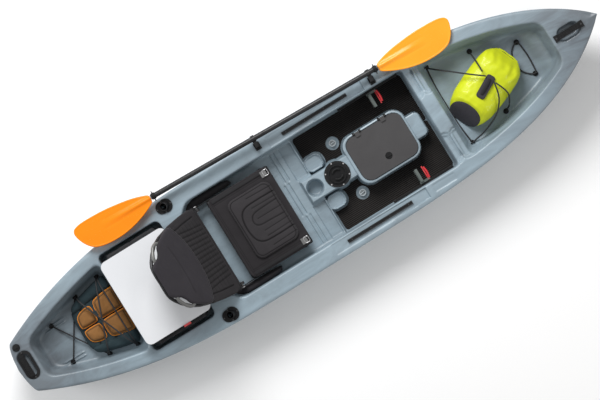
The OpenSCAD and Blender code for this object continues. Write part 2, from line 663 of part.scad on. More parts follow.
// A blade lies flat; its outline leans to one side, as on an asymmetric blade
module blade_outline() {
    hull() {
        translate([6, 0]) circle(d = 30);
        translate([blade_l * 0.45, -4]) circle(d = blade_w * 0.84);
        translate([blade_l * 0.66, -5]) circle(d = blade_w * 0.94);
        translate([blade_l - 48, 22]) circle(d = 96);
        translate([blade_l - 88, -34]) circle(d = 92);
    }
}
module blade() {
    translate([0, 0, -1.8]) linear_extrude(3.6) blade_outline();
    translate([-90 + gap, 0, 0]) rotate([0, 90, 0]) cylinder(d = shaft_d - 3.7, h = 92);
    rotate([0, 90, 0]) cylinder(d1 = shaft_d - 3.8, d2 = 6, h = blade_l * 0.66);
}
module paddle_blade_fore() { color("orange") paddle_frame() translate([shaft_l + gap, 0, 0]) mirror([0, 1, 0]) blade(); }
module paddle_blade_aft() { color("darkorange") paddle_frame() translate([-gap, 0, 0]) mirror([1, 0, 0]) mirror([0, 1, 0]) blade(); }
module drip_ring(x) {
    color("#101010") paddle_frame() translate([x, 0, 0]) rotate([0, 90, 0]) difference() {
        union() {
            cylinder(d = shaft_d + 8, h = 20);
            translate([0, 0, 8]) cylinder(d = shaft_d + 30, h = 4);
        }
        translate([0, 0, -1]) cylinder(d = shaft_d + 0.2, h = 22);
    }
}

// ---- Seat ----
module tube(a, b, d) {
    v = b - a;
    translate(a) rotate([0, acos(v[2] / norm(v)), atan2(v[1], v[0])]) cylinder(d = d, h = norm(v));
}
module tube_loop(p, d) {
    n = len(p);
    for (i = [0:n - 1]) {
        tube(p[i], p[(i + 1) % n], d);
        translate(p[i]) sphere(d = d);
    }
}
seat_aft = seat_front - seat_l;
seat_hw = seat_w / 2;
module seat_frame() {
    color("#26282a") {
        tube_loop([[seat_front, seat_hw, seat_z], [seat_aft, seat_hw, seat_z], [seat_aft, -seat_hw, seat_z],
            [seat_front, -seat_hw, seat_z]], tube_d);
        tube([-300, -seat_hw, seat_z], [-300, seat_hw, seat_z], tube_d - 4);
        for (s = [-1, 1], x = [seat_front - 36, seat_aft + 44])
            tube([x, s * seat_hw, seat_z], [x, s * seat_hw, platform_z + 10], tube_d - 2);
    }
}
module seat_feet() {
    color("#101010") for (s = [-1, 1], x = [seat_front - 36, seat_aft + 44])
        translate([x, s * seat_hw, platform_z + gap]) difference() {
            cylinder(d = tube_d + 12, h = 22);
            translate([0, 0, 9]) cylinder(d = tube_d - 1.6, h = 30);
        }
}
module seat_pan() {
    z0 = seat_z + tube_d / 2 + gap;
    color("#2b2a2c") {
        translate([(seat_front + seat_aft) / 2, 0, z0]) linear_extrude(16) rounded(seat_l + 20, seat_w + 24, 34);
        translate([(seat_front + seat_aft) / 2 + 24, 0, z0 + 15]) linear_extrude(17) rounded(seat_l - 100, seat_w - 108, 40);
    }
}
module seat_clips() {
    color("#8a8f92") for (s = [-1, 1]) translate([seat_front - 44, s * (seat_hw - 22) - 18, seat_z + tube_d / 2 + 16 + 2 * gap])
        cube([34, 36, 7]);
}
module seat_hinge_brackets() {
    y0 = seat_hw + tube_d / 2 + gap;
    color("#1c1e20") for (s = [-1, 1]) side(s) difference() {
        union() {
            translate([hinge_x, y0, hinge_z]) rotate([-90, 0, 0]) cylinder(d = 34, h = 5);
            translate([hinge_x - 5, y0, seat_z - 10]) cube([seat_aft - hinge_x + 60, 5, 19]);
            translate([hinge_x - 17, y0, seat_z - 10]) cube([34, 5, hinge_z - seat_z + 10]);
        }
        translate([hinge_x, y0 - 1, hinge_z]) rotate([-90, 0, 0]) cylinder(d = 10.1, h = 10);
    }
}
module seat_hinge_bolts() {
    y0 = seat_hw + tube_d / 2 + gap;
    color("silver") for (s = [-1, 1]) side(s) {
        translate([hinge_x, y0 - 24, hinge_z]) rotate([-90, 0, 0]) cylinder(d = 10, h = 29);
        translate([hinge_x, y0 + 5 + gap, hinge_z]) rotate([-90, 0, 0]) cylinder(d = 19, h = 6);
    }
}
// The backrest is drawn flat, reaching aft from its hinge, and then tipped up
module back_frame_pose() { translate([hinge_x, 0, hinge_z]) rotate([0, back_angle, 0]) children(); }
back_d = 19;
back_y = seat_hw - 2;
module backrest_frame() {
    color("#55585a") back_frame_pose() difference() {
        union() {
            cord([for (q = [[0.03, -1], [0.28, -1], [0.56, -0.965], [0.8, -0.8], [0.96, -0.5], [1, -0.3], [1, 0],
                [1, 0.3], [0.96, 0.5], [0.8, 0.8], [0.56, 0.965], [0.28, 1], [0.03, 1]])
                [-back_l * q[0], back_y * q[1], 0]], back_d, 2, 12);
            for (s = [-1, 1]) translate([0, s * back_y, 0]) rotate([90, 0, 0]) translate([0, 0, -8]) {
                cylinder(d = 30, h = 16);
            }
            tube([-back_l * 0.5, 3 - back_y, 0], [-back_l * 0.5, back_y - 3, 0], back_d - 5);
            tube([-46, 3 - back_y, 0], [-46, back_y - 3, 0], back_d - 5);
        }
        for (s = [-1, 1]) translate([0, s * back_y, 0]) rotate([90, 0, 0]) translate([0, 0, -20]) cylinder(d = 10.1, h = 40);
    }
}
module backrest_outline() {
    polygon(both_sides([[-512, 104], [-478, 128], [-425, 166], [-370, 200], [-270, 240], [-70, 262], [-24, 226]]));
}
module backrest_pad() {
    color("#242326") back_frame_pose() translate([0, 0, back_d / 2 + gap]) {
        linear_extrude(16) offset(r = 8) offset(delta = -8) backrest_outline();
        translate([0, 0, 15]) linear_extrude(16) offset(r = 20) offset(delta = -52) backrest_outline();
    }
}

// ---- Crate ----
crate_fore = lid_fore - 20;
crate_l = lid_l - 40;
crate_w = lid_w - 30;
lid_t = 11;
crate_top = lid_z - lid_t - gap;
crate_axis_z = lid_z - 6;
crate_cx = crate_fore - crate_l / 2;
module crate_box() {
    z0 = crate_floor_z + gap;
    color("#191b1c") difference() {
        translate([crate_cx, 0, z0]) linear_extrude(crate_top - z0) rounded(crate_l, crate_w, 24);
        translate([crate_cx, 0, z0 + crate_wall]) linear_extrude(400) rounded(crate_l - 2 * crate_wall, crate_w - 2 * crate_wall, 20);
    }
}
module crate_side_pockets() {
    color("#101214") for (s = [-1, 1]) translate([crate_cx - 150, s > 0 ? crate_w / 2 + gap : -crate_w / 2 - gap - 40, crate_floor_z + 8])
        cube([300, 40, crate_top - crate_floor_z - 45]);
}
module crate_lid() {
    lx = lid_fore - lid_l / 2;
    color("#e9eaec") difference() {
        union() {
            translate([lx, 0, lid_z - lid_t]) linear_extrude(lid_t) rounded(lid_l, lid_w, 34);
            for (s = [-1, 1]) translate([lid_fore - 8, s * 180 - 24, crate_axis_z]) rotate([-90, 0, 0]) cylinder(d = 12, h = 48);
        }
        for (s = [-1, 1]) {
            translate([lid_fore - 26, s * 180 - 40, lid_z - 30]) cube([46, 16, 60]);
            translate([lid_fore - 26, s * 180 + 24, lid_z - 30]) cube([46, 16, 60]);
            translate([lid_fore - 8, s * 180 - 60, crate_axis_z]) rotate([-90, 0, 0]) cylinder(d = 5.1, h = 120);
        }
    }
}
module crate_hinge_pins() {
    color("silver") for (s = [-1, 1]) {
        translate([lid_fore - 8, s * 180 - 36, crate_axis_z]) rotate([-90, 0, 0]) cylinder(d = 5, h = 72);
        for (k = [-34, 30]) translate([lid_fore - 22, s * 180 + k - (k < 0 ? 2 : 0), crate_top - 40]) difference() {
            cube([18, 6, crate_axis_z - crate_top + 45]);
            translate([-1, -1, -1]) cube([3, 8, 200]);
        }
    }
}
latch_x = crate_cx + 10;
latch_y = -lid_w / 2 - 7;
latch_z = crate_top - 26;
module crate_latch_base() {
    color("#191b1c") difference() {
        for (x = [latch_x, latch_x + 50]) translate([x, latch_y, latch_z]) {
            rotate([0, 90, 0]) cylinder(d = 11, h = 8);
            translate([0, 0, -5.5]) cube([8, -latch_y - crate_w / 2 - gap, 11]);
        }
        translate([latch_x - 5, latch_y, latch_z]) rotate([0, 90, 0]) cylinder(d = 4, h = 100);
    }
    color("silver") translate([latch_x, latch_y, latch_z]) rotate([0, 90, 0]) cylinder(d = 4, h = 58);
}
module crate_latch() {
    color("#b3161d") difference() {
        union() {
            translate([latch_x + 8.5, latch_y, latch_z]) rotate([0, 90, 0]) cylinder(d = 10, h = 41);
            translate([latch_x + 8.5, latch_y - 5, latch_z]) cube([41, 6, lid_z - latch_z + 6]);
            translate([latch_x + 8.5, latch_y - 5, lid_z + gap]) cube([41, 11.5, 6]);
        }
        translate([latch_x, latch_y, latch_z]) rotate([0, 90, 0]) cylinder(d = 4.1, h = 60);
    }
}

// ---- Dry bag ----
module bag_frame() { translate([bag_cx, bag_cy, bow_floor_z + gap]) rotate([0, 0, bag_yaw]) children(); }
module dry_bag() {
    r = bag_h / 2;
    spread = bag_w / 2 - r;
    color("#c8e020") bag_frame() {
        hull() {
            for (s = [-1, 1]) {
                translate([-bag_l / 2, s * (spread - 14), r]) rotate([0, 90, 0]) cylinder(r = r - 12, h = 10, $fn = 24);
                translate([-bag_l / 4, s * spread, r]) rotate([0, 90, 0]) cylinder(r = r, h = bag_l * 0.42, $fn = 24);
                translate([bag_l * 0.36, s * 64, r + 8]) rotate([0, 90, 0]) cylinder(r = 36, h = 8, $fn = 24);
            }
        }
        translate([bag_l * 0.36, -58, r - 2]) cube([52, 116, 20]);
    }
}
module dry_bag_buckle() {
    color("#141414") bag_frame() translate([-66, -22, bag_h + gap]) cube([140, 46, 14]);
}

hull_shell();  // hull
gear_track(1);  // gear_track_port
gear_track(-1);  // gear_track_starboard
track_screws();
mat(1);  // deck_mat_port
mat(-1);  // deck_mat_starboard
foot_rail(1);  // foot_rail_port
foot_rail(-1);  // foot_rail_starboard
foot_rail_screws();
foot_pedal(1);  // foot_pedal_port
foot_pedal(-1);  // foot_pedal_starboard
pedal_trigger(1);  // pedal_trigger_port
pedal_trigger(-1);  // pedal_trigger_starboard
hatch_gasket();
hatch_hinge_base();
hatch_hinge_pins();
hatch_lid();
hatch_latch_knob();
round_hatch_ring();
round_hatch_screws();
round_hatch_lid();
scupper_plug(1);  // scupper_plug_port
scupper_plug(-1);  // scupper_plug_starboard
rod_holder(1);  // rod_holder_port
rod_holder(-1);  // rod_holder_starboard
rod_holder_screws();
bow_handle();
stern_handle();
handle_screws();
drain_seat();
drain_plug();
bow_pad_eyes();
stern_pad_eyes();
bow_bungee();
stern_bungee();
paddle_cradles();
paddle_shaft_fore();
paddle_shaft_aft();
paddle_blade_fore();
paddle_blade_aft();
drip_ring(shaft_l - 26);  // drip_ring_fore
drip_ring(6);  // drip_ring_aft
ferrule_button();
seat_frame();
seat_feet();
seat_pan();
seat_hinge_brackets();
seat_hinge_bolts();
seat_clips();
backrest_frame();
backrest_pad();
crate_box();
crate_side_pockets();
crate_lid();
crate_hinge_pins();
crate_latch();
dry_bag();
dry_bag_buckle();
life_vest();
crate_latch_base();
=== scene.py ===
import bpy
import bmesh
import json
import math
import numpy as np
from mathutils import Matrix, Vector

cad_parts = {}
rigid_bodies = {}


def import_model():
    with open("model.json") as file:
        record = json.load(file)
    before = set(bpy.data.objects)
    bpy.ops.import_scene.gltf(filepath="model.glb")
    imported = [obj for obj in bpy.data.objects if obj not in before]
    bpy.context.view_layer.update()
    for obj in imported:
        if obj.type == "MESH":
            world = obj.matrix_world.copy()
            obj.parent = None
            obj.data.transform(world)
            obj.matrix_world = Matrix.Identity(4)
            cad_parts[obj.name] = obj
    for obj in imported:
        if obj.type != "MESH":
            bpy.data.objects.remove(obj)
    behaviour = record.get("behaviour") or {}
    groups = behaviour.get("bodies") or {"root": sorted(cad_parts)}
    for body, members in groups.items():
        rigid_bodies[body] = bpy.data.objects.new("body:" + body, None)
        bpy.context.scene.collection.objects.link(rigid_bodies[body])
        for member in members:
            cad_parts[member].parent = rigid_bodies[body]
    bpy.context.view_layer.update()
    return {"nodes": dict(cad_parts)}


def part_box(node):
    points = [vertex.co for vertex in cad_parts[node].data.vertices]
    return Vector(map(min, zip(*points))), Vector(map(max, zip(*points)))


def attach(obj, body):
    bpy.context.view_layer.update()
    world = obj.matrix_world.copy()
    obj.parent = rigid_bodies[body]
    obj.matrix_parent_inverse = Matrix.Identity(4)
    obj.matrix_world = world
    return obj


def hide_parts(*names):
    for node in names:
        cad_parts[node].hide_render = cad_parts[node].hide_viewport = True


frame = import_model()
print("frame loaded:", len(frame["nodes"]), "nodes")

# camera, lights and floor, in metres
view = {
    "turn": -31.7,  # degrees about the vertical
    "aim": (-0.052, -0.013, 0.30),
    "frameWidth": 3.26,
    "lens": 120.0,
    "sensor": 36.0,
    "far": 100,
}
panelLights = {
    "skyPanel": {"place": (0.6, 3.9, 4.3), "size": 3.0, "watts": 310, "colour": (1, 1, 1)},
    "sidePanel": {"place": (2.6, -3.6, 3.2), "size": 2.0, "watts": 40, "colour": (1.0, 0.98, 0.96)},
    "backPanel": {"place": (-4.4, 1.6, 2.6), "size": 2.0, "watts": 60, "colour": (0.96, 0.98, 1.0)},
}
worldSettings = {"colour": (1, 1, 1, 1), "strength": 0.42}
floorSettings = {"size": 60.0, "drop": 0.003, "colour": (0.97, 0.97, 0.97), "rough": 0.9}


def makeCamera():
    data = bpy.data.cameras.new("overheadCamera")
    data.lens = view["lens"]
    data.sensor_width = view["sensor"]
    cam = bpy.data.objects.new("overheadCamera", data)
    bpy.context.scene.collection.objects.link(cam)
    away = view["frameWidth"] * view["lens"] / view["sensor"]
    cam.location = (view["aim"][0], view["aim"][1], view["aim"][2] + away)
    cam.rotation_euler = (0, 0, math.radians(view["turn"]))
    data.clip_end = view["far"]
    bpy.context.scene.camera = cam


def makeLight(name, place, size, watts, colour):
    data = bpy.data.lights.new(name, "AREA")
    data.shape = "DISK"
    data.size = size
    data.energy = watts
    data.color = colour
    lamp = bpy.data.objects.new(name, data)
    bpy.context.scene.collection.objects.link(lamp)
    lamp.location = place
    lamp.rotation_euler = (-Vector(place)).to_track_quat("-Z", "Y").to_euler()


makeCamera()
for name, lamp in panelLights.items():
    makeLight(name, **lamp)
world = bpy.data.worlds.new("studioWorld")
bpy.context.scene.world = world
world.use_nodes = True
background = world.node_tree.nodes["Background"]
background.inputs[0].default_value = worldSettings["colour"]
background.inputs[1].default_value = worldSettings["strength"]
bpy.context.scene.view_settings.view_transform = "Standard"

print("camera and lights placed")


def newGroup(name, inputs, outputs):
    group = bpy.data.node_groups.new(name, "ShaderNodeTree")
    for label, kind, value in inputs:
        socket = group.interface.new_socket(label, in_out="INPUT", socket_type=kind)
        if value is not None:
            socket.default_value = value
    for label, kind in outputs:
        group.interface.new_socket(label, in_out="OUTPUT", socket_type=kind)
    start = group.nodes.new("NodeGroupInput")
    end = group.nodes.new("NodeGroupOutput")
    return group, start, end


def addNode(tree, kind, **values):
    node = tree.nodes.new(kind)
    for key, value in values.items():
        if key.startswith("in_"):
            node.inputs[key[3:]].default_value = value
        elif key.startswith("at"):
            node.inputs[int(key[2:])].default_value = value
        else:
            setattr(node, key, value)
    return node


def noiseNode(tree, vector, scale=None, **values):
    node = addNode(tree, "ShaderNodeTexNoise", **values)
    tree.links.new(vector, node.inputs["Vector"])
    if scale is not None:
        tree.links.new(scale, node.inputs["Scale"])
    return node


def mixColour(tree, factor, colourA, colourB, blend="MIX"):
    node = tree.nodes.new("ShaderNodeMix")
    node.data_type = "RGBA"
    node.blend_type = blend
    for socket, value in ((0, factor), (6, colourA), (7, colourB)):
        if isinstance(value, bpy.types.NodeSocket):
            tree.links.new(value, node.inputs[socket])
        elif socket == 0:
            node.inputs[0].default_value = value
        else:
            node.inputs[socket].default_value = (*value[:3], 1)
    return node.outputs[2]


def calc(tree, operation, a, b=None, c=None, clamp=False):
    node = tree.nodes.new("ShaderNodeMath")
    node.operation = operation
    node.use_clamp = clamp
    for i, value in enumerate((a, b, c)):
        if value is None:
            continue
        if isinstance(value, bpy.types.NodeSocket):
            tree.links.new(value, node.inputs[i])
        else:
            node.inputs[i].default_value = value
    return node.outputs[0]


def grainGroup():
    # fine pebble for the height, slow mottle for the colour
    group, start, end = newGroup(
        "mouldedGrain",
        [("Vector", "NodeSocketVector", None), ("Pebble Scale", "NodeSocketFloat", 900.0),
         ("Mottle Scale", "NodeSocketFloat", 6.0)],
        [("Height", "NodeSocketFloat"), ("Mottle", "NodeSocketFloat")],
    )
    vector = start.outputs["Vector"]
    pebble = noiseNode(group, vector, start.outputs["Pebble Scale"], in_Detail=3.0, in_Roughness=0.6)
    mottle = noiseNode(group, vector, start.outputs["Mottle Scale"], in_Detail=5.0, in_Roughness=0.55,
                       in_Distortion=0.8)
    group.links.new(pebble.outputs[0], end.inputs["Height"])
    group.links.new(mottle.outputs[0], end.inputs["Mottle"])
    return group


def wearAndHighlightGroup():
    # edge wear from pointiness, broken up with scratches; on the hull the same edges carry a painted
    # highlight
    group, start, end = newGroup(
        "edgeWearAndHighlight",
        [("Vector", "NodeSocketVector", None), ("Amount", "NodeSocketFloat", 0.5),
         ("Scratch Scale", "NodeSocketFloat", 40.0)],
        [("Edge", "NodeSocketFloat"), ("Scratch", "NodeSocketFloat")],
    )
    scratch = noiseNode(group, start.outputs["Vector"], start.outputs["Scratch Scale"], in_Detail=6.0,
                        in_Roughness=0.7, in_Distortion=1.4)
    geometry = group.nodes.new("ShaderNodeNewGeometry")
    edge = calc(group, "SUBTRACT", geometry.outputs["Pointiness"], 0.52)
    edge = calc(group, "MULTIPLY", edge, 9.0, clamp=True)
    broken = calc(group, "MULTIPLY", edge, scratch.outputs[0])
    worn = calc(group, "MULTIPLY", broken, start.outputs["Amount"], clamp=True)
    fine = calc(group, "SUBTRACT", scratch.outputs[0], 0.56)
    fine = calc(group, "MULTIPLY", fine, 5.0, clamp=True)
    group.links.new(worn, end.inputs["Edge"])
    group.links.new(fine, end.inputs["Scratch"])
    return group


def weaveGroup():
    # over-under threads from two crossed waves
    group, start, end = newGroup(
        "clothWeave",
        [("Vector", "NodeSocketVector", None), ("Threads", "NodeSocketFloat", 700.0),
         ("Fuzz", "NodeSocketFloat", 0.3)],
        [("Height", "NodeSocketFloat"), ("Shade", "NodeSocketFloat")],
    )
    split = group.nodes.new("ShaderNodeSeparateXYZ")
    group.links.new(start.outputs["Vector"], split.inputs[0])
    waves = []
    for axis in ("X", "Y", "Z"):
        scaled = calc(group, "MULTIPLY", split.outputs[axis], start.outputs["Threads"])
        waves.append(calc(group, "SINE", scaled))
    crossed = calc(group, "MULTIPLY", waves[0], waves[1])
    crossed = calc(group, "ADD", crossed, calc(group, "MULTIPLY", waves[2], 0.5))
    fuzz = noiseNode(group, start.outputs["Vector"], in_Scale=260.0, in_Detail=4.0)
    fuzzy = calc(group, "MULTIPLY", fuzz.outputs[0], start.outputs["Fuzz"])
    height = calc(group, "MULTIPLY_ADD", crossed, 0.25, calc(group, "ADD", fuzzy, 0.4))
    slow = noiseNode(group, start.outputs["Vector"], in_Scale=9.0, in_Detail=4.0)
    shade = calc(group, "MULTIPLY_ADD", height, 0.5, calc(group, "MULTIPLY", slow.outputs[0], 0.6))
    group.links.new(height, end.inputs["Height"])
    group.links.new(shade, end.inputs["Shade"])
    return group


grainTree = grainGroup()
wearAndHighlightTree = wearAndHighlightGroup()
weaveTree = weaveGroup()


def blankMaterial(name):
    material = bpy.data.materials.new(name)
    material.use_nodes = True
    tree = material.node_tree
    shader = tree.nodes["Principled BSDF"]
    coords = tree.nodes.new("ShaderNodeTexCoord")
    return material, tree, shader, coords.outputs["Object"]


def useGroup(tree, group, coords, **values):
    node = tree.nodes.new("ShaderNodeGroup")
    node.node_tree = group
    tree.links.new(coords, node.inputs["Vector"])
    for key, value in values.items():
        node.inputs[key.replace("_", " ")].default_value = value
    return node


def bumpFrom(tree, shader, height, strength, distance):
    bump = tree.nodes.new("ShaderNodeBump")
    bump.inputs["Strength"].default_value = strength
    bump.inputs["Distance"].default_value = distance
    tree.links.new(height, bump.inputs["Height"])
    tree.links.new(bump.outputs[0], shader.inputs["Normal"])


def roughFrom(tree, shader, value, low, high):
    ramp = tree.nodes.new("ShaderNodeMapRange")
    ramp.inputs["To Min"].default_value = low
    ramp.inputs["To Max"].default_value = high
    tree.links.new(value, ramp.inputs["Value"])
    tree.links.new(ramp.outputs[0], shader.inputs["Roughness"])


def plasticMaterial(name, colour, darker, wornColour, rough=(0.35, 0.55), pebble=900.0, bump=0.15, wear=0.5,
                    mottle=7.0, specular=0.32):
    material, tree, shader, coords = blankMaterial(name)
    grain = useGroup(tree, grainTree, coords, Pebble_Scale=pebble, Mottle_Scale=mottle)
    worn = useGroup(tree, wearAndHighlightTree, coords, Amount=wear)
    base = mixColour(tree, grain.outputs["Mottle"], darker, colour)
    base = mixColour(tree, worn.outputs["Edge"], base, wornColour)
    tree.links.new(base, shader.inputs["Base Color"])
    roughFrom(tree, shader, worn.outputs["Scratch"], *rough)
    shader.inputs["Specular IOR Level"].default_value = specular
    bumpFrom(tree, shader, grain.outputs["Height"], bump, 0.0006)
    return material


def metalMaterial(name, colour, rough=(0.25, 0.45), stretch=(1, 1, 1), metallic=1.0, darker=0.8):
    material, tree, shader, coords = blankMaterial(name)
    mapping = tree.nodes.new("ShaderNodeMapping")
    mapping.inputs["Scale"].default_value = stretch
    tree.links.new(coords, mapping.inputs["Vector"])
    grain = useGroup(tree, grainTree, mapping.outputs[0], Pebble_Scale=500.0, Mottle_Scale=20.0)
    worn = useGroup(tree, wearAndHighlightTree, coords, Amount=0.7)
    dark = tuple(c * darker for c in colour)
    light = tuple(min(1, c * 1.5 + 0.05) for c in colour)
    base = mixColour(tree, grain.outputs["Mottle"], dark, colour)
    base = mixColour(tree, worn.outputs["Edge"], base, light)
    tree.links.new(base, shader.inputs["Base Color"])
    shader.inputs["Metallic"].default_value = metallic
    roughFrom(tree, shader, grain.outputs["Height"], *rough)
    bumpFrom(tree, shader, grain.outputs["Height"], 0.08, 0.0003)
    return material


def clothMaterial(name, colour, darker, threads=900.0, rough=(0.7, 0.95), bump=0.35, sheen=0.06, coat=0.0):
    material, tree, shader, coords = blankMaterial(name)
    weave = useGroup(tree, weaveTree, coords, Threads=threads)
    grain = useGroup(tree, grainTree, coords, Pebble_Scale=60.0, Mottle_Scale=8.0)
    base = mixColour(tree, weave.outputs["Shade"], darker, colour)
    lighter = tuple(min(1, c * 1.25 + 0.01) for c in colour)
    dusty = calc(tree, "MULTIPLY", grain.outputs["Mottle"], 0.45)
    base = mixColour(tree, dusty, base, lighter)
    # painted shadow: the cloth darkens to near black along its seams, read from the seamShade attribute
    seamShadow = addNode(tree, "ShaderNodeAttribute")
    seamShadow.attribute_name = "seamShade"
    base = mixColour(tree, calc(tree, "MULTIPLY", seamShadow.outputs["Fac"], 0.8), base,
                     tuple(c * 0.25 for c in darker))
    tree.links.new(base, shader.inputs["Base Color"])
    roughFrom(tree, shader, weave.outputs["Height"], *rough)
    bumpFrom(tree, shader, weave.outputs["Height"], bump, 0.0009)
    shader.inputs["Sheen Weight"].default_value = sheen
    shader.inputs["Specular IOR Level"].default_value = 0.25
    shader.inputs["Coat Weight"].default_value = coat
    return material


hullJoins = (-711.0, 828.0)  # where the hull's three lengths meet


def hullMaterial():
    # pale slate with darker marbled clouds, and painted shade that darkens the ends
    material, tree, shader, coords = blankMaterial("hullPlastic")
    grain = useGroup(tree, grainTree, coords, Pebble_Scale=700.0, Mottle_Scale=3.2)
    worn = useGroup(tree, wearAndHighlightTree, coords, Amount=0.8, Scratch_Scale=18.0)
    split = tree.nodes.new("ShaderNodeSeparateXYZ")
    tree.links.new(coords, split.inputs[0])
    # painted shade: the colour darkens towards the bow and the stern
    endShade = calc(tree, "ABSOLUTE", split.outputs["X"])
    endShade = calc(tree, "MULTIPLY_ADD", endShade, 1.35, -1.5, clamp=True)
    mapping = tree.nodes.new("ShaderNodeMapping")
    mapping.inputs["Scale"].default_value = (1.0, 3.2, 2.0)
    tree.links.new(coords, mapping.inputs["Vector"])
    clouds = noiseNode(tree, mapping.outputs[0], in_Scale=2.6, in_Detail=8.0, in_Roughness=0.62,
                       in_Distortion=1.6)
    cloud = calc(tree, "MULTIPLY_ADD", clouds.outputs[0], 3.6, -1.35, clamp=True)
    # the dark share mixes the painted end shade with the marbled clouds
    dark = calc(tree, "MULTIPLY_ADD", endShade, 0.85, calc(tree, "MULTIPLY", cloud, 0.42), clamp=True)
    base = mixColour(tree, dark, (0.272, 0.358, 0.415), (0.086, 0.098, 0.114))
    streak = calc(tree, "MULTIPLY", grain.outputs["Mottle"], 0.35)
    base = mixColour(tree, streak, base, (0.36, 0.42, 0.455))
    # no edge wear and no painted rim highlight where one length of the hull butts against the next
    edge = worn.outputs["Edge"]
    for join in hullJoins:
        away = calc(tree, "ABSOLUTE", calc(tree, "SUBTRACT", split.outputs["X"], join * 0.001))
        edge = calc(tree, "MULTIPLY", edge, calc(tree, "MULTIPLY_ADD", away, 200.0, -2.4, clamp=True))
    # lighter rims: partly edge wear, partly a painted highlight on the edges
    base = mixColour(tree, edge, base, (0.58, 0.66, 0.70))
    tree.links.new(base, shader.inputs["Base Color"])
    roughFrom(tree, shader, worn.outputs["Scratch"], 0.38, 0.58)
    bumpFrom(tree, shader, grain.outputs["Height"], 0.12, 0.0006)
    return material


def foamMaterial():
    material, tree, shader, coords = blankMaterial("matFoam")
    grain = useGroup(tree, grainTree, coords, Pebble_Scale=1100.0, Mottle_Scale=9.0)
    base = mixColour(tree, grain.outputs["Mottle"], (0.005, 0.0045, 0.0045), (0.015, 0.0135, 0.0135))
    # painted highlight: lighter stripes along the ribs, one every 10 mm across the mat
    split = tree.nodes.new("ShaderNodeSeparateXYZ")
    tree.links.new(coords, split.inputs[0])
    ribHighlight = calc(tree, "SINE", calc(tree, "MULTIPLY", split.outputs["Y"], 2 * math.pi / 0.010))
    ribHighlight = calc(tree, "MULTIPLY_ADD", ribHighlight, 1.6, -0.55, clamp=True)
    base = mixColour(tree, ribHighlight, base, (0.050, 0.044, 0.040))
    tree.links.new(base, shader.inputs["Base Color"])
    shader.inputs["Specular IOR Level"].default_value = 0.2
    roughFrom(tree, shader, grain.outputs["Height"], 0.75, 0.95)
    bumpFrom(tree, shader, grain.outputs["Height"], 0.35, 0.0008)
    return material


def cordMaterial():
    material, tree, shader, coords = blankMaterial("braidedCord")
    mapping = tree.nodes.new("ShaderNodeMapping")
    mapping.inputs["Rotation"].default_value = (0.6, 0.7, 0.5)
    tree.links.new(coords, mapping.inputs["Vector"])
    weave = useGroup(tree, weaveTree, mapping.outputs[0], Threads=2600.0, Fuzz=0.5)
    base = mixColour(tree, weave.outputs["Shade"], (0.006, 0.006, 0.007), (0.035, 0.035, 0.038))
    tree.links.new(base, shader.inputs["Base Color"])
    roughFrom(tree, shader, weave.outputs["Height"], 0.6, 0.85)
    bumpFrom(tree, shader, weave.outputs["Height"], 0.6, 0.001)
    return material


hullPlastic = hullMaterial()
blackPlastic = plasticMaterial("blackPlastic", (0.0085, 0.0085, 0.0095), (0.0045, 0.0045, 0.005),
                               (0.045, 0.045, 0.045), specular=0.2)
greyPlastic = plasticMaterial("greyPlastic", (0.105, 0.125, 0.115), (0.06, 0.075, 0.07), (0.22, 0.24, 0.23))
clipPlastic = plasticMaterial("clipPlastic", (0.10, 0.10, 0.10), (0.06, 0.06, 0.06), (0.35, 0.35, 0.35))
trimGrey = plasticMaterial("trimGrey", (0.20, 0.23, 0.24), (0.14, 0.16, 0.17), (0.4, 0.4, 0.4))
lidGrey = plasticMaterial("lidGreyPlastic", (0.064, 0.062, 0.063), (0.045, 0.043, 0.045),
                          (0.22, 0.22, 0.22), rough=(0.55, 0.75), pebble=500.0, bump=0.4, wear=0.0)
whitePlastic = plasticMaterial("whitePlastic", (0.74, 0.75, 0.77), (0.66, 0.67, 0.69), (0.92, 0.93, 0.94),
                               rough=(0.35, 0.5), mottle=4.0, wear=0.0)
redPlastic = plasticMaterial("redPlastic", (0.72, 0.035, 0.045), (0.52, 0.018, 0.028), (0.85, 0.25, 0.24),
                             rough=(0.22, 0.4))
plugGrey = plasticMaterial("plugRubber", (0.50, 0.54, 0.56), (0.38, 0.42, 0.44), (0.66, 0.68, 0.7),
                           rough=(0.5, 0.7))
blackRubber = plasticMaterial("blackRubber", (0.014, 0.014, 0.014), (0.008, 0.008, 0.008),
                              (0.04, 0.04, 0.04), rough=(0.6, 0.85), bump=0.25, specular=0.2)
bladeOrange = plasticMaterial("bladeOrange", (1.0, 0.40, 0.028), (0.92, 0.31, 0.015), (1.0, 0.62, 0.22),
                              rough=(0.24, 0.4), pebble=300.0, bump=0.05, mottle=3.0)
# a darker, deeper copy of the blade orange for the aft blade: painted shade, the blades being one colour
bladeOrangeShaded = plasticMaterial("bladeOrangeShaded", (0.96, 0.265, 0.006), (0.88, 0.215, 0.004),
                                  (1.0, 0.50, 0.12), rough=(0.24, 0.4), pebble=300.0, bump=0.05, mottle=3.0)
shaftFibre = plasticMaterial("shaftFibre", (0.014, 0.0135, 0.015), (0.007, 0.007, 0.008),
                             (0.07, 0.07, 0.07), rough=(0.26, 0.42), pebble=1400.0, mottle=60.0,
                             specular=0.24)
trackMetal = metalMaterial("trackMetal", (0.014, 0.014, 0.015), stretch=(1, 8, 8), metallic=0.35)
darkScrew = metalMaterial("blackenedScrew", (0.06, 0.06, 0.062), metallic=0.7)
seatTube = metalMaterial("seatTubeMetal", (0.030, 0.030, 0.032), rough=(0.3, 0.5), metallic=0.6)
backTube = metalMaterial("backTubeMetal", (0.17, 0.17, 0.165), rough=(0.34, 0.5), metallic=0.5)
steel = metalMaterial("stainlessSteel", (0.62, 0.62, 0.63), stretch=(1, 12, 1))
matFoam = foamMaterial()
cordCloth = cordMaterial()
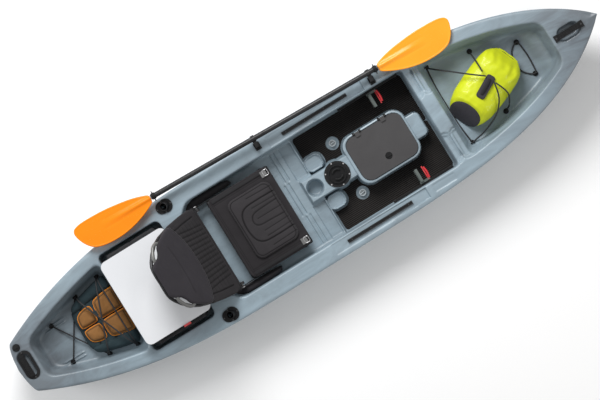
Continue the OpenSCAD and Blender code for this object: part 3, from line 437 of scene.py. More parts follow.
seatCloth = clothMaterial("seatCloth", (0.033, 0.030, 0.033), (0.011, 0.010, 0.011), threads=1500.0)
meshCloth = clothMaterial("seatMesh", (0.023, 0.0205, 0.023), (0.004, 0.0036, 0.004), threads=900.0, bump=0.9)
headCloth = clothMaterial("headrestCloth", (0.024, 0.021, 0.026), (0.012, 0.0105, 0.013), threads=2200.0,
                          bump=0.15, sheen=0.1)
bagCloth = clothMaterial("bagCloth", (0.60, 0.665, 0.014), (0.45, 0.52, 0.007), threads=1900.0,
                         rough=(0.32, 0.5), bump=0.10, sheen=0.0, coat=0.12)
bagEndCloth = clothMaterial("bagEndCloth", (0.040, 0.036, 0.045), (0.022, 0.020, 0.025), threads=1600.0,
                            rough=(0.5, 0.7))
# the vest tan is darkened overall as painted shade from the crate, over its own brown
tanCloth = clothMaterial("vestTanCloth", (0.25, 0.115, 0.032), (0.13, 0.055, 0.016), threads=1300.0)
tealCloth = clothMaterial("vestTealCloth", (0.018, 0.036, 0.043), (0.006, 0.013, 0.017), threads=1100.0)
orangeTrim = clothMaterial("vestTrim", (0.85, 0.28, 0.015), (0.60, 0.17, 0.01), threads=2000.0)
strapWeb = clothMaterial("strapWebbing", (0.020, 0.019, 0.021), (0.008, 0.008, 0.009), threads=2600.0,
                         bump=0.6)
pocketCloth = clothMaterial("pocketCloth", (0.022, 0.023, 0.025), (0.010, 0.010, 0.012), threads=1400.0)
print("materials made:", len(bpy.data.materials))


def newPiece(name, verts, faces, material, body):
    mesh = bpy.data.meshes.new(name)
    mesh.from_pydata([tuple(v) for v in verts], [], faces)
    mesh.validate()
    obj = bpy.data.objects.new(name, mesh)
    bpy.context.scene.collection.objects.link(obj)
    mesh.materials.append(material)
    mesh.shade_smooth()
    bpy.context.view_layer.update()
    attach(obj, body)
    return obj


def fixNormals(obj, near=0.00002):
    bm = bmesh.new()
    bm.from_mesh(obj.data)
    bmesh.ops.remove_doubles(bm, verts=bm.verts, dist=near)
    bmesh.ops.recalc_face_normals(bm, faces=bm.faces)
    if bm.calc_volume(signed=True) < 0:
        bmesh.ops.reverse_faces(bm, faces=bm.faces)
    bm.to_mesh(obj.data)
    bm.free()


def only(obj):
    for other in bpy.context.view_layer.objects:
        other.select_set(False)
    obj.select_set(True)
    bpy.context.view_layer.objects.active = obj


def applyAll(obj):
    only(obj)
    for modifier in list(obj.modifiers):
        bpy.ops.object.modifier_apply(modifier=modifier.name)


def smoothBy(obj, degrees):
    only(obj)
    bpy.ops.object.shade_smooth_by_angle(angle=math.radians(degrees))


def setMaterial(obj, material):
    obj.data.materials.clear()
    obj.data.materials.append(material)


def copyNode(node, name, near=0.00002):
    # a new piece from a CAD node's mesh, left at the origin
    piece = node.copy()
    piece.data = node.data.copy()
    bpy.context.scene.collection.objects.link(piece)
    piece.parent = None
    piece.matrix_world = node.matrix_world.copy()
    bpy.context.view_layer.update()
    piece.data.transform(piece.matrix_world)
    piece.matrix_world = Matrix.Identity(4)
    piece.name = name
    fixNormals(piece, near)
    return piece


def turnedPlace(spot, degrees, axis="Z"):
    return Matrix.Translation(spot) @ Matrix.Rotation(math.radians(degrees), 4, axis)


def carried(place, points):
    return [tuple(place @ Vector(p)) for p in points]


def mirrored(side):
    # a half outline and its mirror image, as one round
    return side + [(u, -v) for u, v in side[::-1]]


def ringFaces(rows, n, closed=False, caps=True):
    # quads between rings of n points, and a face over each end
    faces = []
    for i in range(rows if closed else rows - 1):
        a, b = i * n, ((i + 1) % rows) * n
        for j in range(n):
            k = (j + 1) % n
            faces.append((a + j, a + k, b + k, b + j))
    if caps and not closed:
        faces.append(tuple(range(n))[::-1])
        faces.append(tuple((rows - 1) * n + j for j in range(n)))
    return faces


def circlePoints(x, y, z, r, count):
    return [(x + r * math.cos(a), y + r * math.sin(a), z)
            for a in np.linspace(0, 2 * math.pi, count, endpoint=False)]


def smoothStep(a, b, x):
    t = np.clip((x - a) / (b - a), 0, 1)
    return t * t * (3 - 2 * t)


def curvePoints(points, steps=10, closed=False):
    # a smooth curve through the points
    pts = np.array(points, float)
    n = len(pts)
    out = []
    for i in range(n if closed else n - 1):
        p = [pts[(i + k) % n] if closed else pts[min(max(i + k, 0), n - 1)] for k in (-1, 0, 1, 2)]
        for j in range(steps):
            t = j / steps
            out.append(0.5 * (2 * p[1] + (p[2] - p[0]) * t + (2 * p[0] - 5 * p[1] + 4 * p[2] - p[3]) * t * t
                              + (3 * p[1] - p[0] - 3 * p[2] + p[3]) * t ** 3))
    if not closed:
        out.append(pts[-1])
    return np.array(out)


def paint(material, *names):
    for name in names:
        setMaterial(frame["nodes"][name], material)


# hull sizes in millimetres, the same as the part's own
hull = {
    "length": 3658.0, "beam": 810.0, "depth": 300.0, "bowRise": 120.0, "sternRise": 60.0,
    "bowRocker": 250.0, "sternRocker": 130.0, "tunnel": 14.0, "widestX": -300.0,
    "innerY": 303.0, "cockpitFront": 786.0, "seatWellAft": -655.0, "floorZ": 105.0, "platformZ": 165.0,
    "sill": 84.0, "bowFloor": 200.0, "sternFloor": 175.0, "crateFloor": 168.0, "wallIn": 82.0,
    "hollowY": 205.0, "hollowDrop": 26.0, "trayY": 121.0, "trayDrop": 16.0, "ribUp": 6.0, "shelfUp": 60.0,
    "crateAft": -1152.0, "crateFore": -768.0, "podZ": 218.0, "neckZ": 205.0,
    "hatchL": 348.0, "hatchW": 262.0, "hatchR": 55.0, "podX": 484.0, "roundX": 197.0, "ringD": 146.0,
    "cupX": 55.0, "cupD": 98.0, "cupDepth": 76.0, "stepX": 75.0, "roundThroatZ": 60.0, "hatchThroatZ": 40.0,
    "scupperR": 15.0, "scupperZ": 30.0, "bowHandleDrop": 42.0, "sternHandleDrop": 12.0,
    "smoothAngle": 38.0,
}
# steps between stations along the boat, in millimetres
stationSteps = {"atWall": 2.2, "nearWall": 4.2, "cockpit": 6.4, "corner": 5.0, "tail": 2.5, "nose": 5.0,
                "plain": 9.0}
half = hull["length"] / 2


def halfBreadth(x):
    # half the beam at a station, with a rounded transom
    x = np.asarray(x, float)
    f = np.clip((x - hull["widestX"]) / (half - hull["widestX"]), 0, 1)
    a = np.clip((hull["widestX"] - x) / (half + hull["widestX"]), 0, 1)
    t = np.where(x > -half + 34, 1.0, np.sqrt(np.clip(1 - ((-half + 34 - x) / 34) ** 2, 0, 1)))
    hb = hull["beam"] / 2
    fore = hb * np.clip(1 - f ** 4.4, 0, 1) ** 0.88
    aft = hb * (1 - 0.67 * a ** 2.9) * t
    return np.maximum(6, np.where(x > hull["widestX"], fore, aft))


def gunwaleZ(x):
    x = np.asarray(x, float)
    return hull["depth"] + np.where(x > 0, hull["bowRise"] * np.clip(x / half, 0, 2) ** 2.2,
                                    hull["sternRise"] * np.clip(-x / half, 0, 2) ** 2.5)


def keelZ(x):
    return (hull["bowRocker"] * np.clip((x - 700) / (half - 700), 0, 2) ** 2.6
            + hull["sternRocker"] * np.clip((-x - 1000) / (half - 1000), 0, 2) ** 2.2)


def roundedBox(px, py, halfL, halfW, r):
    # distance inside a rounded rectangle, positive inside
    qx = np.abs(px) - (halfL - r)
    qy = np.abs(py) - (halfW - r)
    outside = np.hypot(np.maximum(qx, 0), np.maximum(qy, 0))
    return r - outside - np.minimum(np.maximum(qx, qy), 0)


def smoothMin(a, b, k):
    h = np.clip(0.5 + 0.5 * (b - a) / k, 0, 1)
    return b * (1 - h) + a * h - k * h * (1 - h)


def sinkInto(z, d, floorLevel, run=2.0, rimR=6.0, floorR=8.0):
    # walls of a recess: rim radius, draughted wall, floor radius
    rimR = np.minimum(rimR, np.maximum(z - floorLevel, 0.1) / 2)
    floorR = np.minimum(floorR, np.maximum(z - floorLevel, 0.1) / 2)
    rim = z - (rimR - np.sqrt(np.clip(rimR ** 2 - np.clip(d + rimR, 0, rimR) ** 2, 0, None)))
    low = floorLevel + floorR - np.sqrt(np.clip(floorR ** 2 - np.clip(floorR - (d - run), 0, floorR) ** 2,
                                                0, None))
    t = np.clip(d / run, 0, 1)
    wall = (z - rimR) * (1 - t) + (floorLevel + floorR) * t
    out = np.where(d <= 0, rim, np.where(d < run, wall, low))
    return np.minimum(z, out)


def raiseFrom(z, d, top, run=2.0, topR=8.0, footR=10.0):
    # walls of an island: foot radius, draughted wall, top radius
    topR = np.minimum(topR, np.maximum(top - z, 0.1) / 2)
    footR = np.minimum(footR, np.maximum(top - z, 0.1) / 2)
    foot = z + footR - np.sqrt(np.clip(footR ** 2 - np.clip(d + footR, 0, footR) ** 2, 0, None))
    high = top - topR + np.sqrt(np.clip(topR ** 2 - np.clip(topR - (d - run), 0, topR) ** 2, 0, None))
    t = np.clip(d / run, 0, 1)
    wall = (z + footR) * (1 - t) + (top - topR) * t
    out = np.where(d <= 0, foot, np.where(d < run, wall, high))
    return np.maximum(z, out)


podHalfW = hull["hatchW"] / 2 + 19
podAft = hull["podX"] - hull["hatchL"] / 2 - 22
podFore = hull["podX"] + hull["hatchL"] / 2 + 18
bowWellAft = hull["cockpitFront"] + hull["sill"]
bowWellFore = half - 278
sternWellAft = -half + 120
sternWellFore = hull["crateAft"] - 12
trackY = hull["innerY"] + 40
padZ = hull["depth"] - 3
scupper = (265.0, 160.0)
bowHandleX = half - 174
sternHandleX = -half + 62
rodHolder = {"x": -690.0, "y": hull["innerY"] + 42, "tilt": 30.0, "r": 24.7, "depth": 172.0}


def cockpitFloor(x, y):
    # platform, step down to the footwell, and the islands that stand on it
    z = np.full(x.shape, hull["floorZ"])
    z = raiseFrom(z, hull["stepX"] - x, hull["platformZ"], run=3, topR=10, footR=12)
    pod = roundedBox(x - (podAft + podFore) / 2, y, (podFore - podAft) / 2, podHalfW, hull["hatchR"] + 14)
    z = raiseFrom(z, pod, hull["podZ"], run=3, topR=9, footR=8)
    neck = roundedBox(x - (podAft + 35) / 2, y, (podAft + 45) / 2, 72.0, 4)
    disc = hull["ringD"] / 2 + 9 - np.hypot(x - hull["roundX"], y)
    z = raiseFrom(z, np.maximum(neck, disc), hull["neckZ"], run=8, topR=7, footR=8)
    nose = roundedBox(x - (podFore + 24), y, 50.0, 73.0, 30)
    z = raiseFrom(z, nose, hull["podZ"] - hull["trayDrop"], run=3, topR=8, footR=8)
    bulge = roundedBox(x - (hull["stepX"] + 46), np.abs(y) - hull["trayY"], 58.0, 49.0, 42)
    z = raiseFrom(z, bulge, hull["platformZ"] + 8, run=8, topR=3, footR=6)
    return z


def deckHeight(x, y):
    # height of the hull's upper face, gunwales, wells and recesses included
    b = halfBreadth(x)
    s = gunwaleZ(x)
    z = s + 6 * (1 - np.clip(np.abs(y) / np.maximum(b - 22, 14), 0, 1) ** 1.6)
    # scallops beside the sill, fore and aft of it
    for centre, reach in ((hull["cockpitFront"] + 2, 38.0), (bowWellAft + 2, 46.0)):
        d = roundedBox(x - centre, np.abs(y) - hull["hollowY"], reach, 92, 34)
        z = sinkInto(z, d, z - hull["hollowDrop"], run=14, rimR=12, floorR=12)
    # cockpit and seat well
    floorLevel = cockpitFloor(x, y)
    aftCorner = (x - hull["seatWellAft"]) * 0.723 + (235 - np.abs(y)) * 0.690
    d = smoothMin(hull["cockpitFront"] - x, hull["innerY"] - np.abs(y), 26)
    d = smoothMin(d, x - hull["seatWellAft"], 22)
    d = smoothMin(d, aftCorner, 22)
    slanted = smoothStep(30, 4, aftCorner - d)
    z = sinkInto(z, d, floorLevel, run=3 + 11 * slanted, rimR=12, floorR=16)
    # crate well, stern well, bow well
    crateX, crateL = (hull["crateAft"] + hull["crateFore"]) / 2, hull["crateFore"] - hull["crateAft"]
    d = roundedBox(x - crateX, y, crateL / 2, hull["innerY"] - 1, 32)
    z = sinkInto(z, d, hull["crateFloor"], run=4, rimR=10, floorR=14)
    wallY = b - hull["wallIn"]
    d = smoothMin(smoothMin(x - sternWellAft, sternWellFore - x, 40), wallY - np.abs(y), 46)
    z = sinkInto(z, d, hull["sternFloor"], run=22, rimR=14, floorR=24)
    d = smoothMin(smoothMin(x - bowWellAft, bowWellFore - x, 40), wallY - np.abs(y), 50)
    shelf = hull["bowFloor"] + hull["shelfUp"] * smoothStep(bowWellFore - 135, bowWellFore - 20, x)
    z = sinkInto(z, d, shelf, run=24, rimR=14, floorR=26)
    # stern floor ribs
    for ribY in (-118, -98, 98, 118):
        d = roundedBox(x + 1560, y - ribY, 62, 5, 4)
        z = raiseFrom(z, d, z + hull["ribUp"] * (d > -8), run=2, topR=3, footR=3)
    # grooves in front of the seat
    for gx, gy, halfW in ((-86, 0, 98), (-60, 0, 98), (-72, 196, 90), (-46, 196, 90)):
        d = roundedBox(x - gx, np.abs(y) - gy, 6, halfW, 5)
        z = sinkInto(z, d, z - hull["ribUp"], run=2, rimR=2, floorR=2)
    # trays
    trayZ = hull["platformZ"] - hull["trayDrop"]
    d = roundedBox(x - (hull["stepX"] + 42), np.abs(y) - hull["trayY"], 52, 43, 36)
    z = sinkInto(z, d, trayZ, run=6, rimR=3, floorR=5)
    d = roundedBox(x - 26, np.abs(y) - 185.5, 38, 105.5, 8)
    z = sinkInto(z, d, np.minimum(z, trayZ), run=2.5, rimR=3, floorR=6)
    # cup holder, round hatch throat, hatch seat and throat
    d = hull["cupD"] / 2 - np.hypot(x - hull["cupX"], y)
    z = sinkInto(z, d, hull["neckZ"] - hull["cupDepth"], run=8, rimR=5, floorR=10)
    d = (hull["ringD"] - 26) / 2 - np.hypot(x - hull["roundX"], y)
    z = sinkInto(z, d, hull["roundThroatZ"], run=2, rimR=2, floorR=6)
    seat = roundedBox(x - hull["podX"], y, hull["hatchL"] / 2 + 2, hull["hatchW"] / 2 + 2, hull["hatchR"] + 2)
    z = sinkInto(z, seat, hull["podZ"] - 12, run=2, rimR=2.5, floorR=2)
    throat = roundedBox(x - hull["podX"], y, (hull["hatchL"] - 46) / 2, (hull["hatchW"] - 46) / 2,
                        hull["hatchR"] - 18)
    z = sinkInto(z, throat, hull["hatchThroatZ"], run=3, rimR=2, floorR=8)
    # scuppers, track pads and moulded panels on the gunwales
    d = hull["scupperR"] - np.hypot(x - scupper[0], np.abs(y) - scupper[1])
    z = sinkInto(z, d, hull["scupperZ"], run=1, rimR=3, floorR=2)
    pad = roundedBox(x - 262, np.abs(y) - trackY, 300, 32, 3)
    z = sinkInto(z, pad, np.full(x.shape, padZ), run=1.5, rimR=3, floorR=3)
    z = sinkInto(z, roundedBox(x - 668, np.abs(y) - trackY, 70, 22, 8), z - 4, run=2, rimR=2, floorR=2)
    # carry handle recesses
    d = roundedBox(x - bowHandleX, y, 64, 39, 38)
    z = sinkInto(z, d, float(gunwaleZ(bowHandleX)) - hull["bowHandleDrop"], run=6, rimR=7, floorR=14)
    d = roundedBox(x - sternHandleX, y, 42, 86, 40)
    z = sinkInto(z, d, float(gunwaleZ(sternHandleX)) + 1, run=1, rimR=2, floorR=2)
    d = roundedBox(x - sternHandleX, y, 26, 66, 25)
    z = sinkInto(z, d, float(gunwaleZ(sternHandleX)) - hull["sternHandleDrop"], run=5, rimR=5, floorR=10)
    return z


def wallLine(x):
    # the half-width that the lengthwise walls follow, for the grid's dense lines
    b = halfBreadth(x)
    wells = b - hull["wallIn"]
    mid = np.full(np.shape(x), hull["innerY"])
    toBow = smoothStep(hull["cockpitFront"] + 20, bowWellAft - 12, x)
    toStern = 1 - smoothStep(sternWellFore - 2, hull["crateAft"] + 2, x)
    line = mid * (1 - toBow) + wells * toBow
    line = line * (1 - toStern) + wells * toStern
    return np.minimum(line, np.maximum(b - 40, 1))


def stationList(x0, x1):
    # stations packed close at the cross walls, and even elsewhere
    marks = [sternHandleX - 42, sternHandleX - 26, sternHandleX + 26, sternHandleX + 42, sternWellAft + 4,
             sternWellAft + 18, sternWellFore - 4, sternWellFore - 18, hull["crateAft"] + 2,
             hull["crateFore"] - 2, hull["seatWellAft"] + 2, -92, -80, -66, -54, -12, 64, hull["stepX"] + 2,
             6, 106, 130, 264, 288, 310, 657, 673, 680, 750, hull["cockpitFront"] - 2, bowWellAft + 4,
             bowWellAft + 18, bowWellFore - 4, bowWellFore - 20, bowHandleX - 64, bowHandleX + 64]
    wanted = []
    x = x0
    while x < x1:
        wanted.append(x)
        near = min(abs(x - m) for m in marks)
        if near < 7:
            step = stationSteps["atWall"]
        elif near < 22:
            step = stationSteps["nearWall"]
        elif -110 < x < 760:
            step = stationSteps["cockpit"]
        elif -660 < x < -560:
            step = stationSteps["corner"]
        elif x < -half + 40:
            step = stationSteps["tail"]
        elif x > half - 60:
            step = stationSteps["nose"]
        else:
            step = stationSteps["plain"]
        x += step
    wanted.append(x1)
    return np.array(wanted)


def lineList(count=66):
    # grid lines across the boat, as shares: 0..1 to the wall line, then 1..2 from it to the deck edge
    inner = np.concatenate([np.linspace(0, 0.93, count, endpoint=False),
                            np.linspace(0.93, 0.985, 6, endpoint=False),
                            np.linspace(0.985, 1.0, 6, endpoint=False)])
    outer = np.concatenate([np.linspace(1.0, 1.12, 9, endpoint=False),
                            np.linspace(1.12, 1.85, 16, endpoint=False), np.linspace(1.85, 2.0, 4)])
    side = np.concatenate([inner, outer])
    return np.concatenate([-side[:0:-1], side])


def sideProfile(x, steps):
    # from the deck edge round the side and under the keel, on one side
    b = float(halfBreadth(x))
    k = float(keelZ(x))
    s = float(gunwaleZ(x))
    h = s - k
    e = min(1, b / 70)
    t = hull["tunnel"] * min(1, b / 300)
    pts = [(b - 22 * e, s), (b - 15 * e, s - 0.8 * e), (b - 7 * e, s - 3.4 * e), (b - 2 * e, s - 8 * e),
           (b, s - 14 * e), (b, s - 34 * e), (b - 2.5 * e, s - 41 * e), (b - 6 * e, s - 48 * e),
           (b * 0.982, k + 0.66 * h), (b * 0.975, k + 0.5 * h), (b * 0.955, k + 0.36 * h),
           (b * 0.92, k + 0.25 * h), (b * 0.87, k + 0.15 * h), (b * 0.80, k + 0.08 * h),
           (b * 0.71, k + 0.025 * h), (b * 0.62, k), (b * 0.53, k), (b * 0.45, k + 0.5),
           (b * 0.40, k + 0.5 * t), (b * 0.35, k + t), (b * 0.27, k + t), (b * 0.19, k + t),
           (b * 0.14, k + 0.5 * t), (b * 0.09, k + 0.3), (b * 0.045, k), (0, k)]
    out = curvePoints(pts, steps)
    out[:, 1] = np.maximum(out[:, 1], k)
    return out


def hullSection(name, x0, x1):
    # one closed length of the hull between two stations
    xs = stationList(x0, x1)
    lines = lineList()
    b = halfBreadth(xs)
    edge = b - 22 * np.minimum(1, b / 70)
    wall = np.clip(wallLine(xs), edge * 0.3, edge * 0.96)
    share = np.abs(lines)[None, :]
    outer = wall[:, None] + (share - 1) * (edge - wall)[:, None]
    yy = np.where(share <= 1, share * wall[:, None], outer) * np.sign(lines)[None, :]
    xx = np.repeat(xs[:, None], len(lines), 1)
    zz = deckHeight(xx, yy)
    pos = np.stack([xx, yy, zz], -1)
    # throats of the slanted rod holders
    tilt = math.radians(rodHolder["tilt"])
    axis = np.array([-math.sin(tilt), 0, math.cos(tilt)])
    for side in (-1, 1):
        root = np.array([rodHolder["x"], side * rodHolder["y"], float(gunwaleZ(rodHolder["x"]))])
        rel = pos - root
        along = rel @ axis
        dist = np.linalg.norm(rel - along[..., None] * axis, axis=-1)
        push = rodHolder["depth"] * smoothStep(rodHolder["r"] + 1.5, rodHolder["r"] - 1.5, dist)
        pos = pos - push[..., None] * axis
    rings = []
    for i, x in enumerate(xs):
        prof = sideProfile(x, 2)
        under = np.concatenate([prof[1:], (prof * np.array([-1, 1]))[-2:0:-1]])
        low = np.column_stack([np.full(len(under), x), under[:, 0] * -1, under[:, 1]])
        rings.append(np.concatenate([pos[i][::-1], low]))
    rings = np.array(rings) / 1000.0
    m, n = rings.shape[:2]
    verts = rings.reshape(-1, 3).tolist()
    faces = ringFaces(m, n, caps=False)
    # ends are closed with a fan round a middle point
    for i, flip in ((0, False), (m - 1, True)):
        centre = rings[i].mean(0)
        centre[1] = 0
        verts.append(centre.tolist())
        c = len(verts) - 1
        for j in range(n):
            k = (j + 1) % n
            face = (i * n + j, c, i * n + k)
            faces.append(face[::-1] if flip else face)
    obj = newPiece(name, verts, faces, hullPlastic, "boat")
    fixNormals(obj)
    obj.data.shade_smooth()
    return obj


bowSection = hullSection("hullFore", hullJoins[1], half)
midSection = hullSection("hullMid", hullJoins[0], hullJoins[1])
sternSection = hullSection("hullAft", -half, hullJoins[0])
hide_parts("hull")
for section in (bowSection, midSection, sternSection):
    smoothBy(section, hull["smoothAngle"])
    print("hull piece", section.name, "faces", len(section.data.polygons))


def ripple(u, v, seed, scale=0.03, octaves=3):
    # slow creases, as a sum of turned waves
    rng = np.random.default_rng(seed)
    total = np.zeros(np.shape(u))
    for octave in range(octaves):
        for _ in range(5):
            angle = rng.uniform(0, 2 * math.pi)
            k = 2 * math.pi / (scale * rng.uniform(0.7, 1.5)) * 1.8 ** octave
            total += np.sin((u * math.cos(angle) + v * math.sin(angle)) * k
                            + rng.uniform(0, 6.28)) / (octave + 1.5)
    return total / 8


def lineDistance(u, v, points, closed=False):
    # distance from each grid point to the nearest leg of a line
    pts = np.array(points, float)
    if closed:
        pts = np.vstack([pts, pts[:1]])
    best = np.full(np.shape(u), 1e9)
    for a, b in zip(pts[:-1], pts[1:]):
        ab = b - a
        t = np.clip(((u - a[0]) * ab[0] + (v - a[1]) * ab[1]) / max(ab @ ab, 1e-12), 0, 1)
        best = np.minimum(best, np.hypot(u - a[0] - t * ab[0], v - a[1] - t * ab[1]))
    return best


def roundedOutline(cu, cv, halfU, halfV, r, steps=8):
    # a rectangle with round corners
    out = []
    for su, sv, start in ((1, 1, 0), (-1, 1, 90), (-1, -1, 180), (1, -1, 270)):
        for i in range(steps + 1):
            a = math.radians(start + 90 * i / steps)
            out.append((cu + su * (halfU - r) + r * math.cos(a), cv + sv * (halfV - r) + r * math.sin(a)))
    return out


def spansOf(outline, us):
    # the outline's lowest and highest v at each u
    pts = np.vstack([np.array(outline, float), np.array(outline[:1], float)])
    lo, hi = [], []
    for u in us:
        hits = []
        for a, b in zip(pts[:-1], pts[1:]):
            if (a[0] - u) * (b[0] - u) <= 0 and abs(a[0] - b[0]) > 1e-9:
                hits.append(a[1] + (b[1] - a[1]) * (u - a[0]) / (b[0] - a[0]))
        hits = hits or [0.0]
        lo.append(min(hits))
        hi.append(max(hits))
    return np.array(lo), np.array(hi)


def padPiece(name, outline, material, body, top, bottom, edge=14.0, place=None, seams=(), puff=0.0,
             crease=0.0, seed=1, shape=None, rows=110, cols=96,
             creaseScale=60.0):
    # a crowned closed form over an outline in millimetres
    # bottom and top are heights, edge is the roll of the rim
    pts = np.array(outline, float)
    u0, u1 = pts[:, 0].min() + 0.05, pts[:, 0].max() - 0.05
    us = u0 + (u1 - u0) * (0.5 - 0.5 * np.cos(np.linspace(0, math.pi, rows)))
    us = 0.55 * us + 0.45 * np.linspace(u0, u1, rows)
    lo, hi = spansOf(outline, us)
    s = 0.5 - 0.5 * np.cos(np.linspace(0, math.pi, cols))
    s = 0.55 * s + 0.45 * np.linspace(0, 1, cols)
    vv = lo[:, None] + (hi - lo)[:, None] * s[None, :]
    uu = np.repeat(us[:, None], cols, 1)
    d = lineDistance(uu, vv, outline, closed=True)
    d[0, :] = d[-1, :] = 0
    d[:, 0] = d[:, -1] = 0
    roll = np.sqrt(np.clip(1 - (1 - np.clip(d / edge, 0, 1)) ** 2, 0, 1))
    inner = np.clip(d / (pts[:, 1].max() - pts[:, 1].min()) * 2, 0, 1)
    crown = puff * (1 - (1 - inner) ** 2)
    mid = bottom + (top - bottom) * 0.42
    zTop = mid + (top - mid) * roll + crown * roll
    # painted shadow along the seams, kept in the seamShade attribute
    seamShadow = np.zeros(uu.shape)
    for points, depth, width in seams:
        away = lineDistance(uu, vv, points)
        zTop -= depth * np.exp(-(away / width) ** 2) * roll
        seamShadow = np.maximum(seamShadow, np.exp(-(away / (0.8 * width)) ** 2) * min(1, depth / 3.0))
    zTop += crease * ripple(uu, vv, seed, creaseScale) * roll
    if shape:
        zTop = zTop + shape(uu, vv, d) * roll
    zBottom = mid + (bottom - mid) * np.clip(roll * 1.4, 0, 1)
    zTop = np.maximum(zTop, zBottom + 0.2 * roll)
    n, k = uu.shape
    verts = [(*p,) for p in np.stack([uu, vv, zTop], -1).reshape(-1, 3)]
    verts += [(*p,) for p in np.stack([uu, vv, zBottom], -1).reshape(-1, 3)]
    low = n * k
    faces = []
    for i in range(n - 1):
        for j in range(k - 1):
            a = i * k + j
            faces.append((a, a + k, a + k + 1, a + 1))
            faces.append((low + a, low + a + 1, low + a + k + 1, low + a + k))
    matrix = place or Matrix.Identity(4)
    placed = [(matrix @ Vector(v)) * 0.001 for v in verts]
    obj = newPiece(name, placed, faces, material, body)
    shade = obj.data.attributes.new("seamShade", "FLOAT", "POINT")
    shade.data.foreach_set("value", np.concatenate([seamShadow.ravel(), np.zeros(seamShadow.size)]))
    fixNormals(obj)
    obj.data.shade_smooth()
    return obj


def tubePiece(name, points, radius, material, body, steps=12, flat=1.0, closed=False,
              twist=0.0):
    # a swept tube or strap through points in millimetres
    pts = np.array(points, float)
    n = len(pts)
    verts = []
    tangents = np.gradient(pts, axis=0)
    if closed:
        tangents = np.roll(pts, -1, 0) - np.roll(pts, 1, 0)
    up = np.array([0.0, 0.0, 1.0])
    for p, t in zip(pts, tangents):
        t = t / max(np.linalg.norm(t), 1e-9)
        side = np.cross(up, t)
        if np.linalg.norm(side) < 1e-4:
            side = np.array([0.0, 1.0, 0.0])
        side = side / np.linalg.norm(side)
        over = np.cross(t, side)
        for j in range(steps):
            a = 2 * math.pi * j / steps + twist
            verts.append((p + side * math.cos(a) * radius + over * math.sin(a) * radius * flat) * 0.001)
    obj = newPiece(name, verts, ringFaces(n, steps, closed), material, body)
    fixNormals(obj)
    smoothBy(obj, 50)
    return obj


# seat base, cushion and side pads
sides = ((-1, "Starboard"), (1, "Port"))
seat = {"x": -303.0, "halfL": 193.0, "halfW": 247.0, "z": 259.3, "top": 274.0, "cushionX": -279.0,
        "cushionTop": 292.0, "strapHalf": 9, "bolsterTop": 232, "bolsterLow": 182}
seatBaseOutline = roundedOutline(seat["x"], 0, seat["halfL"], seat["halfW"], 34)
baseSeams = [([(x, -240), (x, 240)], 1.6, 1.6) for x in (-478, -468)]
baseSeams += [([(-480, y), (-130, y)], 1.8, 1.8) for y in (-214, -204, 204, 214)]
seatBase = padPiece("seatBase", seatBaseOutline, meshCloth, "boat", seat["top"], seat["z"], edge=8,
                    seams=baseSeams, crease=1.0, seed=3)
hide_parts("seat_pan")
cushionOutline = roundedOutline(seat["cushionX"], 0, 133, 181, 42)
uChannel = curvePoints([(-146, 108), (-250, 110), (-330, 104), (-368, 70), (-380, 0), (-368, -70),
                        (-330, -104), (-250, -110), (-146, -108)], 8)
innerLoop = curvePoints([(-158, 62), (-240, 60), (-308, 52), (-330, 18), (-312, -14), (-240, -20),
                         (-158, -24)], 8)
ribLines = [(curvePoints([(-150, y), (-220, y * 1.02), (-300, y * 1.04)], 6), 3.0, 2.8)
            for y in (20, -52, 82, -84, 140, -140)]
edgeLine = roundedOutline(seat["cushionX"], 0, 121, 169, 34)
edgeLine = np.array(edgeLine + edgeLine[:1])
cushionSeams = [(uChannel, 7.5, 4.2), (innerLoop, 5.0, 3.6), (edgeLine, 3.6, 3.0)] + ribLines
padPiece("seatCushion", cushionOutline, seatCloth, "boat", seat["cushionTop"], seat["top"] - 2.5, edge=15,
         seams=cushionSeams, puff=6.0, crease=1.2, seed=5, rows=130,
         cols=130)
# webbing round the seat and over its front corners
for side, label in sides:
    strap = [(-470, side * 226, 277), (-380, side * 227, 278), (-180, side * 227, 278),
             (-128, side * 222, 277)]
    tubePiece(f"seatStrap{label}", curvePoints(strap, 6), seat["strapHalf"], strapWeb, "boat",
              flat=0.16)
    sideOutline = curvePoints([(-636, side * 236), (-646, side * 258), (-634, side * 286),
                               (-600, side * 299), (-520, side * 300.5), (-430, side * 300),
                               (-350, side * 294), (-330, side * 280), (-336, side * 262),
                               (-470, side * 256), (-560, side * 252), (-610, side * 240)], 6, closed=True)
    padPiece(f"sideBolster{label}", sideOutline, seatCloth, "boat", seat["bolsterTop"], seat["bolsterLow"],
             edge=20, puff=3, crease=1.6, seed=11 + side, rows=80,
             cols=40)
print("seat made")

# backrest and headrest, drawn flat and turned about the hinge
back = {"hinge": (-560.0, 0.0, 280.0), "lean": 46.0, "panelTop": 25.5, "panelLow": 9.8, "headTop": 39.0,
        "headLow": 22.0, "tubeR": 9.6, "strapHalf": 12}
backPlace = turnedPlace(back["hinge"], back["lean"], "Y")
backHalf = [(-505, 80), (-498, 94), (-470, 106), (-436, 124), (-410, 160), (-370, 196), (-320, 222),
            (-270, 240), (-170, 254), (-82, 262), (-48, 250), (-26, 226)]
backOutline = mirrored(backHalf)
wing = [(u, v - 46) for u, v in backHalf if -300 < u < -60]
backSeams = [([(u, v * side) for u, v in wing], 6.5, 4.2) for side in (-1, 1)]
backSeams += [([(-60, 26 * k), (-150, 27 * k), (-262, 29 * k)], 4.0, 5.0) for k in range(-6, 7)]
backSeams += [([(u, -196), (u, 196)], 1.2, 2.2) for u in (-84, -110, -136, -162, -188, -214)]
backSeams += [([(-46, -238), (-46, 238)], 2.4, 3.0)]


def lumbar(u, v, d):
    return 7 * np.exp(-((u + 120) / 70) ** 2) * np.clip(1 - (v / 230) ** 2, 0, 1)


